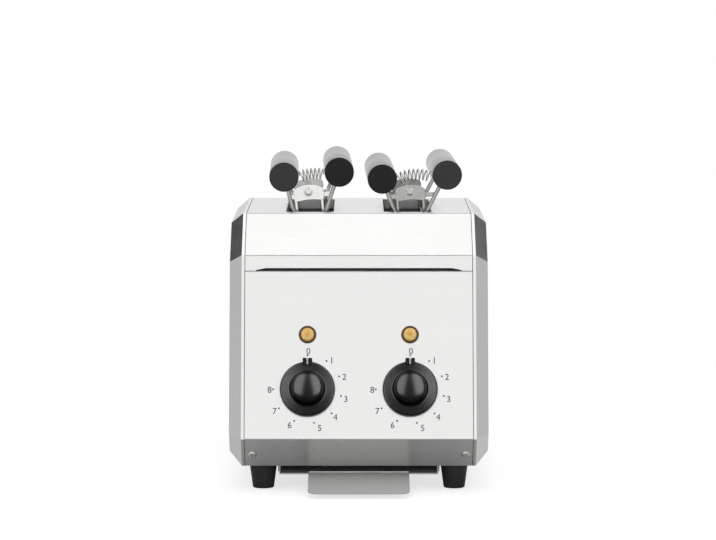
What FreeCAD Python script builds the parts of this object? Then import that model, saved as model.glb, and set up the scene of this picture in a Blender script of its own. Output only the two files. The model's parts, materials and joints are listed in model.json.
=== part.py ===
import FreeCAD, Part
import math
import os

# Two-slot toaster with lift-out tongs. Millimetres, X to the right as seen from the
# front, Y to the back, Z up from the surface that the feet stand on.

# Overall sizes
BODY_WIDTH = 233.0          # over the two dished side panels
COVER_WIDTH = 204.8         # folded covers between the side panels
BODY_DEPTH = 369.0          # over the front and rear edges above the lower bands
BODY_HEIGHT = 245.6         # floor to the top plate
TOP_DEPTH = 192.0           # flat top plate, front to back
SHOULDER_DEPTH = 289.0      # over the bend between panel and slanted shoulder
SHOULDER_HEIGHT = 211.5
UNDERCUT = 28.0             # height and depth of the lower band, at 45 degrees
FOOT_HEIGHT = 22.0

# Sheet metal
SHEET = 1.0                 # covers and base
DISH_SHEET = 1.2            # side panels, rails
LINER_SHEET = 0.8
BEND_RADIUS = 2.0
SEAM = 0.25                 # gap between a cover's edge and a side panel
SEAT_GAP = 0.3              # between parts that rest on or slide along each other
LAP_GAP = 0.05              # between sheets that are screwed or clipped together

# Dished side panels
RIM_WIDTH = 2.8             # flat rim beside the covers
DISH_INSETS = {"bottom": 13.0, "band": 12.0, "panel": 11.0, "slant": 11.0, "top": 9.0}
FLANGE_WIDTH = 10.0         # tucked under the covers
BOTTOM_FLANGE_WIDTH = 27.0  # under the base plate

# Split between the top cover and the control panel
LIP_LENGTH = 13.4           # cover below the shoulder bend
SPLIT_GAP = 0.4
VENT_WIDTH = 185.0
VENT_HEIGHT = 1.8
VENT_POINT = 9.0            # pointed ends of the vent line
TOP_FLANGE = 8.0            # control panel's top edge, turned in

# Toasting slots and chambers
SLOT_SPACING = 90.0
SLOT_WIDTH = 44.0
SLOT_LENGTH = 157.0
SLOT_CORNER = 4.0
SLOT_RIM = 8.0              # depth of the turned-down edge
CHAMBER_HALF = 42.2         # chamber middle to the reflector's inner face
CHAMBER_END = 80.4          # chamber middle to the end wall's inner face
GUARD_OFFSET = 31.4         # chamber middle to the guard strips
GUARD_THICK = 1.2
GUARD_WIDTH = 4.0
GUARD_INSET = 6.0           # cross strips from the ends of the upright ones
GUARD_BARS = 5
REST_THICK = 1.5
REST_DEEP = 4.0
REST_SPACING = 100.0

# Heating elements
TUBE_OFFSET = 36.8
TUBE_DIAMETER = 9.0
TUBE_HEIGHTS = (142.0, 200.0)
HOLDER_THICK = 7.0
HOLDER_WIDTH = 11.0
HOLDER_MARGIN = 10.0
FIT_CLEARANCE = 0.05        # radial, for running fits and seated ends

# Vents in the base behind the crumb tray
VENT_PITCH = 16.0
VENT_START = 103.0

# Heat shields between the chambers and the two end compartments
SHIELD_HALF_WIDTH = 91.5

# Control panel
CONTROL_SPACING = 92.0
KNOB_HEIGHT_UP = 45.0       # up the panel from its lower bend
LAMP_HEIGHT_UP = 94.0
KNOB_SKIRT = 50.0
KNOB_SKIRT_TOP = 47.0
KNOB_SKIRT_THICK = 5.0
KNOB_BOSS = 31.0
KNOB_FACE = 26.0
KNOB_HEIGHT = 23.0
KNOB_DOME = 1.6
KNOB_EDGE = 1.4
KNOB_GAP = 1.2              # skirt to panel
KNOB_RECESS = 3.2
POINTER_WIDTH = 8.4
POINTER_REACH = 27.6
SHAFT_DIAMETER = 6.0
SHAFT_FLAT = 1.2
SHAFT_LENGTH = 30.0
BUSH_DIAMETER = 10.0
NUT_ACROSS = 14.0
NUT_THICK = 2.2
TIMER_SIZE = 46.0
TIMER_DEPTH = 28.0
LAMP_BEZEL = 15.8
LAMP_NECK = 12.6
LAMP_LENS = 11.5
LAMP_BODY_LENGTH = 26.0

# Fasteners
SCREW_SPACING = 192.0
SCREW_HEAD = 8.5
SCREW_SHANK = 4.0
SCREW_DOWN = 22.5           # below the band's upper bend

# Feet
FOOT_SPACING_X = 173.0
FOOT_SPACING_Y = 280.0
FOOT_TOP = 25.0
FOOT_BOTTOM = 19.0

# Crumb tray
TRAY_WIDTH = 144.0
TRAY_FRONT = 150.0          # in front of the middle
TRAY_BACK = 92.0
TRAY_FLOOR = 13.2
TRAY_WALL = 8.0
TAB_WIDTH = 91.0
TAB_LENGTH = 55.0
TAB_SLOPE = 9.8             # degrees downwards to the front
TAB_CORNER = 8.0
RAIL_LENGTH = 248.0
RAIL_FOOT = 6.0
RAIL_FLANGE = 9.0

# Rear panel
LOUVRE_ROWS = 6
LOUVRE_COLUMNS = 2
LOUVRE_WIDTH = 62.0
LOUVRE_HEIGHT = 7.0
LOUVRE_PITCH = 13.0
LOUVRE_PROUD = 3.2
GLAND_X = -60.0
GLAND_UP = 26.0
GLAND_DIAMETER = 20.0
GLAND_LENGTH = 13.0
GLAND_BORE = 7.5
GLAND_WALL = 2.9

# Tongs
PIN_RISE = 17.4             # pin above the top plate
HANDLE_DIAMETER = 27.0
TONG_PLACES = {
    "left": {"x": -47.6, "tilt": 5.0, "yaw": 1.0, "reach": {"left": 7.5, "right": 16.3}, "rise": 3.7},
    "right": {"x": 46.2, "tilt": 3.5, "yaw": 0.8, "reach": {"left": 11.5, "right": 21.1}, "rise": 1.5},
}                           # reach and rise: from the pin to the near side of each handle
HANDLE_LENGTH = 180.0
HANDLE_CHAMFER = 0.8
ARM_WIRE = 4.0
ARM_HALF = {"left": 69.0, "right": 67.3}
ARM_CLEAR = 7.0             # slot's edge to an arm's middle line
KNEE_DROP = 17.4            # below the pin
KNEE_RADIUS = 14.0
JAW_TIP_HALF = 4.6
JAW_DROP = 153.0
JAW_CORNER = 7.0
JAW_RAIL = 3.0
JAW_STRIP_THICK = 1.2
JAW_STRIP_WIDTH = 3.0
JAW_BARS = 5
JAW_TOP_DROP = 26.0
EAR_THICK = 1.5
PIN_DIAMETER = 4.0
PIN_HEAD = 6.5
PIN_HEAD_THICK = 1.1

# Spring between the handles
SPRING_WIRE = 1.4
SPRING_OUTER = 10.4
SPRING_COILS = 6
SPRING_BOW = 40.0           # radius of the bowed middle line
SPRING_PLACE = -58.0        # along the pivot axis, behind the front ears
SPRING_END_GAP = 0.5        # wire to handle

# Worked out from the sizes above
HALF_COVER = COVER_WIDTH / 2
HALF_BODY = BODY_WIDTH / 2
UP_PANEL = math.atan2((BODY_DEPTH - SHOULDER_DEPTH) / 2,
                      SHOULDER_HEIGHT - FOOT_HEIGHT - UNDERCUT)
PANEL_LENGTH = math.hypot((BODY_DEPTH - SHOULDER_DEPTH) / 2,
                          SHOULDER_HEIGHT - FOOT_HEIGHT - UNDERCUT)
BASE_TOP = FOOT_HEIGHT + DISH_SHEET + SHEET
COVER_UNDERSIDE = BODY_HEIGHT - SHEET
LINER_HALF = CHAMBER_HALF + LINER_SHEET
LINER_END = CHAMBER_END + LINER_SHEET
SHIELD_Y = LINER_END + HOLDER_THICK + 2 * SEAT_GAP
KNEE_HALF = SLOT_WIDTH / 2 - ARM_CLEAR
PIN_HEIGHT = BODY_HEIGHT + PIN_RISE
JAW_BOTTOM = PIN_HEIGHT - JAW_DROP - ARM_WIRE / 2
REST_HEIGHT = JAW_BOTTOM - 2 * SEAT_GAP
EDGE_NAMES = ("bottom", "band", "panel", "slant", "top", "slant", "panel", "band")


def vec(x, y, z):
    return FreeCAD.Vector(x, y, z)


def block(x0, x1, y0, y1, z0, z1):
    """A box between two corners."""
    return Part.makeBox(x1 - x0, y1 - y0, z1 - z0, vec(x0, y0, z0))


def rod(start, end, diameter):
    """A round bar between two points."""
    way = end - start
    return Part.makeCylinder(diameter / 2, way.Length, start, way)


def joined(shapes):
    """One solid from pieces that overlap or share faces."""
    shapes = list(shapes)
    return shapes[0].fuse(shapes[1:]).removeSplitter()


def group(shapes):
    """Separate solids kept together in one node."""
    return Part.makeCompound(list(shapes))


def mirrored_x(shape):
    return shape.mirror(vec(0, 0, 0), vec(1, 0, 0))


def mirrored_y(shape):
    return shape.mirror(vec(0, 0, 0), vec(0, 1, 0))


def rounded_edges(points, radii):
    """Straight edges joined by tangent arcs, one radius per inner point, 0 for a sharp corner."""
    edges = []
    last = points[0]
    for before, corner, after, radius in zip(points, points[1:], points[2:], radii):
        towards = (corner - before).normalize()
        away = (after - corner).normalize()
        turn = towards.getAngle(away)
        if radius <= 0 or turn < 1e-6:
            edges.append(Part.LineSegment(last, corner).toShape())
            last = corner
            continue
        reach = radius * math.tan(turn / 2)
        start = corner - towards * reach
        end = corner + away * reach
        inward = (away - towards).normalize()
        middle = corner + inward * (radius / math.cos(turn / 2) - radius)
        if (start - last).Length > 1e-6:
            edges.append(Part.LineSegment(last, start).toShape())
        edges.append(Part.Arc(start, middle, end).toShape())
        last = end
    edges.append(Part.LineSegment(last, points[-1]).toShape())
    return edges


def turned(points):
    """A closed outline of radius and height pairs, turned about Z."""
    corners = [vec(r, 0, z) for r, z in points]
    face = Part.Face(Part.makePolygon(corners + corners[:1]))
    return face.revolve(vec(0, 0, 0), vec(0, 0, 1), 360)


def dome_edge(radius, rise, top):
    """The arc of a round dome from its rim to its crown on the Z axis."""
    ball = (radius * radius + rise * rise) / (2 * rise)
    half = vec(radius / 2, 0, top - ball + math.sqrt(ball * ball - radius * radius / 4))
    return Part.Arc(vec(radius, 0, top - rise), half, vec(0, 0, top)).toShape()


def crossing(point_a, way_a, point_b, way_b):
    """Where two lines in the Y-Z plane meet."""
    det = way_a[0] * way_b[1] - way_a[1] * way_b[0]
    gap = (point_b[0] - point_a[0], point_b[1] - point_a[1])
    share = (gap[0] * way_b[1] - gap[1] * way_b[0]) / det
    return (point_a[0] + way_a[0] * share, point_a[1] + way_a[1] * share)


def moved_line(start, end, inset):
    """A line moved to its left by the inset, as a point and a direction."""
    length = math.hypot(end[0] - start[0], end[1] - start[1])
    way = ((end[0] - start[0]) / length, (end[1] - start[1]) / length)
    point = (start[0] - way[1] * inset, start[1] + way[0] * inset)
    return point, way


def inset_outline(points, insets):
    """A closed outline with each edge moved inwards by its own inset."""
    count = len(points)
    lines = [moved_line(points[i], points[(i + 1) % count], insets[i]) for i in range(count)]
    return [crossing(*lines[i - 1], *lines[i]) for i in range(count)]


def inset_chain(points, inset):
    """An open chain of edges moved to its left."""
    lines = [moved_line(a, b, inset) for a, b in zip(points, points[1:])]
    first = lines[0][0]
    last_start, last_way = lines[-1]
    run = math.hypot(points[-1][0] - points[-2][0], points[-1][1] - points[-2][1])
    last = (last_start[0] + last_way[0] * run, last_start[1] + last_way[1] * run)
    return [first] + [crossing(*a, *b) for a, b in zip(lines, lines[1:])] + [last]


def side_outline():
    """The body seen from its side: bottom, lower bands, panels, shoulders and top."""
    bottom = BODY_DEPTH / 2 - UNDERCUT
    half = [
        (bottom, FOOT_HEIGHT),
        (BODY_DEPTH / 2, FOOT_HEIGHT + UNDERCUT),
        (SHOULDER_DEPTH / 2, SHOULDER_HEIGHT),
        (TOP_DEPTH / 2, BODY_HEIGHT),
    ]
    return [(-bottom, FOOT_HEIGHT)] + half + [(-y, z) for y, z in reversed(half[1:])]


def folded_sheet(points, thickness, x0, x1, radius=BEND_RADIUS):
    """A bent sheet whose outer face follows the points, extruded across X."""
    inner = inset_chain(points, thickness)
    outer_radii = []
    inner_radii = []
    for before, corner, after in zip(points, points[1:], points[2:]):
        turn = ((corner[0] - before[0]) * (after[1] - corner[1])
                - (corner[1] - before[1]) * (after[0] - corner[0]))
        outer_radii.append(radius if turn > 0 else radius - thickness)
        inner_radii.append(radius - thickness if turn > 0 else radius)
    outer_points = [vec(x0, y, z) for y, z in points]
    inner_points = [vec(x0, y, z) for y, z in reversed(inner)]
    edges = rounded_edges(outer_points, outer_radii)
    edges.append(Part.LineSegment(outer_points[-1], inner_points[0]).toShape())
    edges += rounded_edges(inner_points, list(reversed(inner_radii)))
    edges.append(Part.LineSegment(inner_points[-1], outer_points[0]).toShape())
    return Part.Face(Part.Wire(edges)).extrude(vec(x1 - x0, 0, 0))


def layered_solid(rings):
    """A closed solid through outlines at several X, joined edge to edge by flat faces."""
    loops = [[vec(x, y, z) for y, z in points] for x, points in rings]
    faces = [Part.Face(Part.makePolygon(loops[0] + loops[0][:1])),
             Part.Face(Part.makePolygon(loops[-1] + loops[-1][:1]))]
    for near, far in zip(loops, loops[1:]):
        count = len(near)
        for i in range(count):
            j = (i + 1) % count
            faces.append(Part.Face(Part.makePolygon([near[i], near[j], far[j], far[i], near[i]])))
    return Part.makeSolid(Part.makeShell(faces))


def up_front(distance):
    """The point on the front panel's outer face that far up from its lower bend."""
    share = distance / PANEL_LENGTH
    y = -BODY_DEPTH / 2 + (BODY_DEPTH - SHOULDER_DEPTH) / 2 * share
    z = FOOT_HEIGHT + UNDERCUT + (SHOULDER_HEIGHT - FOOT_HEIGHT - UNDERCUT) * share
    return (y, z)


def on_panel(shape, x, distance):
    """Moves a piece drawn with Z outwards and Y up onto the sloping front panel."""
    y, z = up_front(distance)
    turn = FreeCAD.Rotation(vec(1, 0, 0), 90 - math.degrees(UP_PANEL))
    return shape.transformed(FreeCAD.Placement(vec(x, y, z), turn).toMatrix())


def on_band(shape, x, distance):
    """Moves a piece drawn with Z outwards and Y up onto the front lower band."""
    run = UNDERCUT / math.sqrt(2) * 2
    share = 1 - distance / run
    y = -BODY_DEPTH / 2 + UNDERCUT * (1 - share)
    z = FOOT_HEIGHT + UNDERCUT * share
    turn = FreeCAD.Rotation(vec(1, 0, 0), 135)
    return shape.transformed(FreeCAD.Placement(vec(x, y, z), turn).toMatrix())


def top_cover():
    """One folded sheet: front lip, shoulder, top plate with two slots, shoulder, rear lip."""
    lip = up_front(PANEL_LENGTH - LIP_LENGTH)
    outline = [(-lip[0], lip[1]), (SHOULDER_DEPTH / 2, SHOULDER_HEIGHT), (TOP_DEPTH / 2, BODY_HEIGHT),
               (-TOP_DEPTH / 2, BODY_HEIGHT), (-SHOULDER_DEPTH / 2, SHOULDER_HEIGHT), lip]
    cover = folded_sheet(outline, SHEET, -HALF_COVER, HALF_COVER)
    for side in (-1, 1):
        middle = side * SLOT_SPACING / 2
        rim = slot_block(middle, SHEET, COVER_UNDERSIDE - SLOT_RIM, BODY_HEIGHT - SHEET / 2)
        hole = slot_block(middle, 0, COVER_UNDERSIDE - SLOT_RIM - 1, BODY_HEIGHT + 1)
        cover = cover.fuse(rim).cut(hole)
    notch = vent_notch()
    return cover.cut(notch).cut(mirrored_y(notch)).removeSplitter()


def slot_block(middle, grow, z0, z1):
    """A round-cornered block over one slot, larger than it by grow all round."""
    x = SLOT_WIDTH / 2 + grow
    y = SLOT_LENGTH / 2 + grow
    blank = block(middle - x, middle + x, -y, y, z0, z1)
    upright = [e for e in blank.Edges if abs(e.BoundBox.ZLength - (z1 - z0)) < 1e-6]
    return blank.makeFillet(SLOT_CORNER + grow, upright)


def vent_notch():
    """The narrow vent line cut into the lip's lower edge, pointed at both ends."""
    half = VENT_WIDTH / 2
    points = [vec(-half, -1, 0), vec(half, -1, 0), vec(half, 0, 0), vec(half - VENT_POINT, VENT_HEIGHT, 0),
              vec(VENT_POINT - half, VENT_HEIGHT, 0), vec(-half, 0, 0), vec(-half, -1, 0)]
    blank = Part.Face(Part.makePolygon(points)).extrude(vec(0, 0, 6 * SHEET))
    blank.translate(vec(0, 0, -3 * SHEET))
    return on_panel(blank, 0, PANEL_LENGTH - LIP_LENGTH)


def end_panel_blank():
    """A panel between the bottom and the lip: lower band, sloping face, turned-in top edge."""
    foot = (-(BODY_DEPTH / 2 - UNDERCUT), FOOT_HEIGHT)
    edge = (-BODY_DEPTH / 2, FOOT_HEIGHT + UNDERCUT)
    top = up_front(PANEL_LENGTH - LIP_LENGTH - SPLIT_GAP)
    turned = (top[0] + TOP_FLANGE * math.cos(UP_PANEL), top[1] - TOP_FLANGE * math.sin(UP_PANEL))
    outline = [turned, top, edge, foot]
    return folded_sheet(outline, SHEET, -HALF_COVER, HALF_COVER, 1.6)


def flange_cutaway(shape, y0, y1):
    """Cuts a turned-in flange back so that it passes between the side panels' flanges."""
    for side in (-1, 1):
        x0, x1 = sorted((side * (HALF_COVER - FLANGE_WIDTH - SEAT_GAP), side * HALF_BODY))
        shape = shape.cut(block(x0, x1, y0, y1, SHOULDER_HEIGHT - 3 * LIP_LENGTH, SHOULDER_HEIGHT))
    return shape


def band_screw_places():
    return [side * SCREW_SPACING / 2 for side in (-1, 1)]


def front_panel():
    """Control panel with its timer, lamp and screw holes."""
    panel = end_panel_blank()
    depth = 12 * SHEET
    for side in (-1, 1):
        x = side * CONTROL_SPACING / 2
        bush_hole = Part.makeCylinder(BUSH_DIAMETER / 2 + FIT_CLEARANCE, depth, vec(0, 0, -depth / 2))
        lamp_hole = Part.makeCylinder(LAMP_NECK / 2 + FIT_CLEARANCE, depth, vec(0, 0, -depth / 2))
        panel = panel.cut(on_panel(bush_hole, x, KNOB_HEIGHT_UP))
        panel = panel.cut(on_panel(lamp_hole, x, LAMP_HEIGHT_UP))
    return trimmed_end_panel(panel)


def trimmed_end_panel(panel):
    """Screw holes in the band, and clearance for the side panels' flanges."""
    hole = Part.makeCylinder(SCREW_SHANK / 2 + FIT_CLEARANCE, 6 * SHEET, vec(0, 0, -3 * SHEET))
    for x in band_screw_places():
        panel = panel.cut(on_band(hole, x, SCREW_DOWN))
    inner = up_front(PANEL_LENGTH - LIP_LENGTH - SPLIT_GAP - BEND_RADIUS)[0] + SHEET + LAP_GAP
    return flange_cutaway(panel, inner, inner + 2 * TOP_FLANGE)


def rear_panel():
    """Rear panel: the front panel's blank with pressed louvres and a gland hole."""
    panel = end_panel_blank()
    hole = Part.makeCylinder(GLAND_BORE / 2 + GLAND_WALL + FIT_CLEARANCE, 12 * SHEET,
                             vec(0, 0, -6 * SHEET))
    panel = panel.cut(on_panel(hole, GLAND_X, GLAND_UP))
    start = PANEL_LENGTH / 2 - LOUVRE_PITCH * (LOUVRE_ROWS - 1) / 2
    for column in range(LOUVRE_COLUMNS):
        x = (column - (LOUVRE_COLUMNS - 1) / 2) * (LOUVRE_WIDTH + 16)
        for row in range(LOUVRE_ROWS):
            hood, window = louvre()
            up = start + row * LOUVRE_PITCH
            panel = panel.cut(on_panel(window, x, up)).fuse(on_panel(hood, x, up))
    return mirrored_y(trimmed_end_panel(panel.removeSplitter()))


def louvre():
    """One pressed hood, open along its lower edge, and the window behind it."""
    half = LOUVRE_WIDTH / 2
    hood = louvre_wedge(half, LOUVRE_HEIGHT, LOUVRE_PROUD, 0)
    hollow = louvre_wedge(half - SHEET, LOUVRE_HEIGHT - SHEET, LOUVRE_PROUD - SHEET, -1)
    window = block(-half + SHEET, half - SHEET, 0, LOUVRE_HEIGHT - 2 * SHEET, -3 * SHEET, 3 * SHEET)
    return hood.cut(hollow).cut(window.common(hollow)), window


def louvre_wedge(half, height, proud, foot):
    """A wedge that stands out at its lower edge and runs back into the sheet above."""
    taper = LOUVRE_PROUD
    low = [vec(-half, foot, -SHEET), vec(half, foot, -SHEET),
           vec(half - taper, foot, proud), vec(taper - half, foot, proud)]
    high = [vec(-half, height, -SHEET), vec(half, height, -SHEET)]
    faces = [
        low,
        [low[0], high[0], high[1], low[1]],
        [low[3], low[2], high[1], high[0]],
        [low[0], low[3], high[0]],
        [low[1], high[1], low[2]],
    ]
    shell = Part.makeShell([Part.Face(Part.makePolygon(f + f[:1])) for f in faces])
    return Part.makeSolid(shell)


def side_panel():
    """Right side panel: a pressed dish with a flat rim and a flange tucked under the covers."""
    outline = side_outline()
    rim_start = HALF_COVER + SEAM
    rim_end = rim_start + RIM_WIDTH
    reach = HALF_BODY - rim_end
    insets = [DISH_INSETS[name] for name in EDGE_NAMES]
    outer = layered_solid([
        (rim_start, outline),
        (rim_end, outline),
        (HALF_BODY, inset_outline(outline, insets)),
    ])
    wall = DISH_SHEET
    slopes = [math.hypot(d, reach) / reach for d in insets]
    bend = rim_end - wall * 0.45
    inner_insets = [(reach - wall) * d / reach + wall * s for d, s in zip(insets, slopes)]
    hollow = layered_solid([
        (rim_start - 1, inset_outline(outline, [wall] * 8)),
        (bend, inset_outline(outline, [wall] * 8)),
        (HALF_BODY - wall, inset_outline(outline, inner_insets)),
    ])
    flange_out = [0.0] + [SHEET + LAP_GAP] * 7
    flange_in = [wall] + [SHEET + LAP_GAP + wall] * 7
    jog = ring_solid(rim_start, rim_start + wall, outline, [0.0] * 8, flange_in)
    flange = ring_solid(HALF_COVER - FLANGE_WIDTH, rim_start + wall, outline, flange_out, flange_in)
    shelf_y = BODY_DEPTH / 2 - UNDERCUT - 3 * BEND_RADIUS
    shelf = block(HALF_COVER - BOTTOM_FLANGE_WIDTH, HALF_COVER, -shelf_y, shelf_y,
                  FOOT_HEIGHT, FOOT_HEIGHT + wall)
    panel = joined([outer.cut(hollow), jog, flange, shelf])
    return panel.cut(group(foot_screw_holes(1) + band_lap_holes()))


def ring_solid(x0, x1, outline, outer_insets, inner_insets):
    """The band between two insets of the outline, extruded along X."""
    outer = layered_solid([(x0, inset_outline(outline, outer_insets)),
                           (x1, inset_outline(outline, outer_insets))])
    inner = layered_solid([(x0 - 1, inset_outline(outline, inner_insets)),
                           (x1 + 1, inset_outline(outline, inner_insets))])
    return outer.cut(inner)


def foot_screw_holes(side):
    return [Part.makeCylinder(SCREW_SHANK / 2 + FIT_CLEARANCE, 3 * FOOT_HEIGHT,
                              vec(side * FOOT_SPACING_X / 2, y * FOOT_SPACING_Y / 2, 0))
            for y in (-1, 1)]


def band_lap_holes():
    """Holes through the flange behind the lower bands for the panel screws."""
    hole = Part.makeCylinder(SCREW_SHANK / 2 + FIT_CLEARANCE, 12 * SHEET, vec(0, 0, -6 * SHEET))
    places = []
    for x in band_screw_places():
        placed = on_band(hole, x, SCREW_DOWN)
        places += [placed, mirrored_y(placed)]
    return places


def base_plate():
    """Floor of the housing, turned up behind the lower bands, open under both chambers."""
    outline = side_outline()
    inner = inset_outline(outline, [DISH_SHEET] * 8)
    reach = UNDERCUT * 0.6
    front = inner[0]
    back = inner[1]
    chain = [(front[0] - reach, front[1] + reach), front, back, (back[0] + reach, back[1] + reach)]
    half = HALF_COVER - FLANGE_WIDTH - SEAT_GAP
    plate = folded_sheet(chain, SHEET, -half, half)
    wing_y = BODY_DEPTH / 2 - UNDERCUT - 4 * BEND_RADIUS
    wing = block(-HALF_COVER, HALF_COVER, -wing_y, wing_y, BASE_TOP - SHEET, BASE_TOP)
    plate = plate.fuse(wing)
    for side in (-1, 1):
        middle = side * SLOT_SPACING / 2
        half_open = SLOT_WIDTH / 2 + 2
        y = SLOT_LENGTH / 2 - 4
        plate = plate.cut(block(middle - half_open, middle + half_open, -y, y, 0, 2 * BASE_TOP))
        plate = plate.cut(group(foot_screw_holes(side)))
    for step in range(-3, 4):
        x = step * VENT_PITCH
        plate = plate.cut(block(x - 2, x + 2, VENT_START, VENT_START + 30, 0, 2 * BASE_TOP))
    return plate.removeSplitter()


def tray_rails():
    """Two folded rails under the base that carry the crumb tray."""
    wall = DISH_SHEET
    x0 = TRAY_WIDTH / 2 + SEAT_GAP
    low = TRAY_FLOOR - SEAT_GAP - wall
    y = RAIL_LENGTH / 2
    web = block(x0, x0 + wall, -y, y, low, FOOT_HEIGHT)
    foot = block(x0 - RAIL_FOOT, x0 + wall, -y, y, low, low + wall)
    flange = block(x0, x0 + wall + RAIL_FLANGE, -y, y, FOOT_HEIGHT - wall, FOOT_HEIGHT)
    rail = joined([web, foot, flange])
    return group([rail, mirrored_x(rail)])


def rubber_feet():
    """Four tapered feet with a screw well from below."""
    feet = []
    well = SCREW_HEAD / 2 + 0.8
    bore = SCREW_SHANK / 2 + FIT_CLEARANCE
    top = FOOT_TOP / 2
    low = FOOT_BOTTOM / 2
    foot = turned([(bore, FOOT_HEIGHT), (top, FOOT_HEIGHT), (low, 0), (well, 0), (well, FOOT_HEIGHT / 2),
                   (bore, FOOT_HEIGHT / 2)])
    for x in (-1, 1):
        for y in (-1, 1):
            feet.append(foot.translated(vec(x * FOOT_SPACING_X / 2, y * FOOT_SPACING_Y / 2, 0)))
    return group(feet)


def foot_screws():
    """Screws from inside each foot's well up through the side flange and the base."""
    seat = FOOT_HEIGHT / 2 - LAP_GAP
    shank = SCREW_SHANK / 2
    head = SCREW_HEAD / 2
    screw = turned([(0, seat - 2.5), (head, seat - 2.5), (head, seat), (shank, seat),
                    (shank, BASE_TOP + 3), (0, BASE_TOP + 3)])
    return group([screw.translated(vec(x * FOOT_SPACING_X / 2, y * FOOT_SPACING_Y / 2, 0))
                  for x in (-1, 1) for y in (-1, 1)])


def pan_head_screw(length):
    """A pan-head screw along Z, its head seated on the XY plane."""
    half = SCREW_HEAD / 2
    rise = SCREW_HEAD * 0.28
    shank = SCREW_SHANK / 2
    return turned([(0, -length), (shank, -length), (shank, 0), (half, 0), (half * 0.8, rise), (0, rise)])


def panel_screws():
    """Two screws in each lower band."""
    screw = pan_head_screw(9.0)
    screw.translate(vec(0, 0, LAP_GAP))
    placed = [on_band(screw, x, SCREW_DOWN) for x in band_screw_places()]
    return group(placed + [mirrored_y(s) for s in placed])


def chamber_liner(side):
    """Reflector box round one chamber, open at top and bottom, with square holes for the tubes."""
    middle = side * SLOT_SPACING / 2
    top = COVER_UNDERSIDE - SEAT_GAP
    outer = block(middle - LINER_HALF, middle + LINER_HALF, -LINER_END, LINER_END, BASE_TOP, top)
    inner = block(middle - CHAMBER_HALF, middle + CHAMBER_HALF, -CHAMBER_END, CHAMBER_END,
                  BASE_TOP - 1, top + 1)
    liner = outer.cut(inner)
    half = TUBE_DIAMETER / 2 + SEAT_GAP
    for tube_side in (-1, 1):
        x = middle + tube_side * TUBE_OFFSET
        for height in TUBE_HEIGHTS:
            liner = liner.cut(block(x - half, x + half, -2 * LINER_END, 2 * LINER_END,
                                    height - half, height + half))
    return liner


def tube_places():
    return [(chamber * SLOT_SPACING / 2 + side * TUBE_OFFSET, height)
            for chamber in (-1, 1) for side in (-1, 1) for height in TUBE_HEIGHTS]


def quartz_tubes():
    """Sealed heating tubes that run past both end walls into the ceramic holders."""
    end = LINER_END + SEAT_GAP + HOLDER_THICK - 1
    return group([Part.makeCylinder(TUBE_DIAMETER / 2, 2 * end, vec(x, -end, z), vec(0, 1, 0))
                  for x, z in tube_places()])


def ceramic_holders():
    """Ceramic strips outside the end walls, with a square opening per tube."""
    low = TUBE_HEIGHTS[0] - HOLDER_MARGIN
    high = TUBE_HEIGHTS[-1] + HOLDER_MARGIN
    half = TUBE_DIAMETER / 2 + FIT_CLEARANCE
    strips = []
    for chamber in (-1, 1):
        for side in (-1, 1):
            x = chamber * SLOT_SPACING / 2 + side * TUBE_OFFSET
            y = LINER_END + SEAT_GAP
            strip = block(x - HOLDER_WIDTH / 2, x + HOLDER_WIDTH / 2, y, y + HOLDER_THICK, low, high)
            for height in TUBE_HEIGHTS:
                strip = strip.cut(block(x - half, x + half, y - HOLDER_THICK, y + 2 * HOLDER_THICK,
                                        height - half, height + half))
            strips += [strip, mirrored_y(strip)]
    return group(strips)


def heater_guards():
    """Guards that keep the tongs off the tubes: upright strips on two cross strips."""
    low = REST_HEIGHT + 2
    high = COVER_UNDERSIDE - SLOT_RIM
    end = CHAMBER_END - SEAT_GAP
    half = GUARD_THICK / 2
    pitch = 2 * end / (GUARD_BARS + 1)
    guards = []
    for chamber in (-1, 1):
        for side in (-1, 1):
            x = chamber * SLOT_SPACING / 2 + side * GUARD_OFFSET
            behind = x + side * (GUARD_THICK + LAP_GAP)
            for z in (low + GUARD_INSET, high - GUARD_INSET):
                guards.append(block(behind - half, behind + half, -end, end,
                                    z - GUARD_WIDTH / 2, z + GUARD_WIDTH / 2))
            for i in range(GUARD_BARS):
                y = -end + pitch * (i + 1)
                guards.append(block(x - half, x + half, y - GUARD_WIDTH / 2, y + GUARD_WIDTH / 2, low, high))
    return group(guards)


def rest_bars():
    """Two cross bars in each chamber that the tong jaws stand on."""
    reach = CHAMBER_HALF - LAP_GAP
    half = REST_THICK / 2
    return group([block(middle - reach, middle + reach, y - half, y + half, REST_HEIGHT - REST_DEEP, REST_HEIGHT)
                  for middle in (-SLOT_SPACING / 2, SLOT_SPACING / 2)
                  for y in (-REST_SPACING / 2, REST_SPACING / 2)])


def heat_shield():
    """Front heat shield: a folded sheet that stands on the base behind the control panel."""
    top = COVER_UNDERSIDE - SEAT_GAP
    sheet = block(-SHIELD_HALF_WIDTH, SHIELD_HALF_WIDTH, -SHIELD_Y - LINER_SHEET, -SHIELD_Y, BASE_TOP, top)
    foot = block(-SHIELD_HALF_WIDTH, SHIELD_HALF_WIDTH, -SHIELD_Y - 10, -SHIELD_Y,
                 BASE_TOP, BASE_TOP + LINER_SHEET)
    return joined([sheet, foot])


def hexagon(across, thick, z0):
    corner = across / math.sqrt(3)
    points = [vec(corner * math.cos(math.radians(60 * i)), corner * math.sin(math.radians(60 * i)), z0)
              for i in range(7)]
    return Part.Face(Part.makePolygon(points)).extrude(vec(0, 0, thick))


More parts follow.
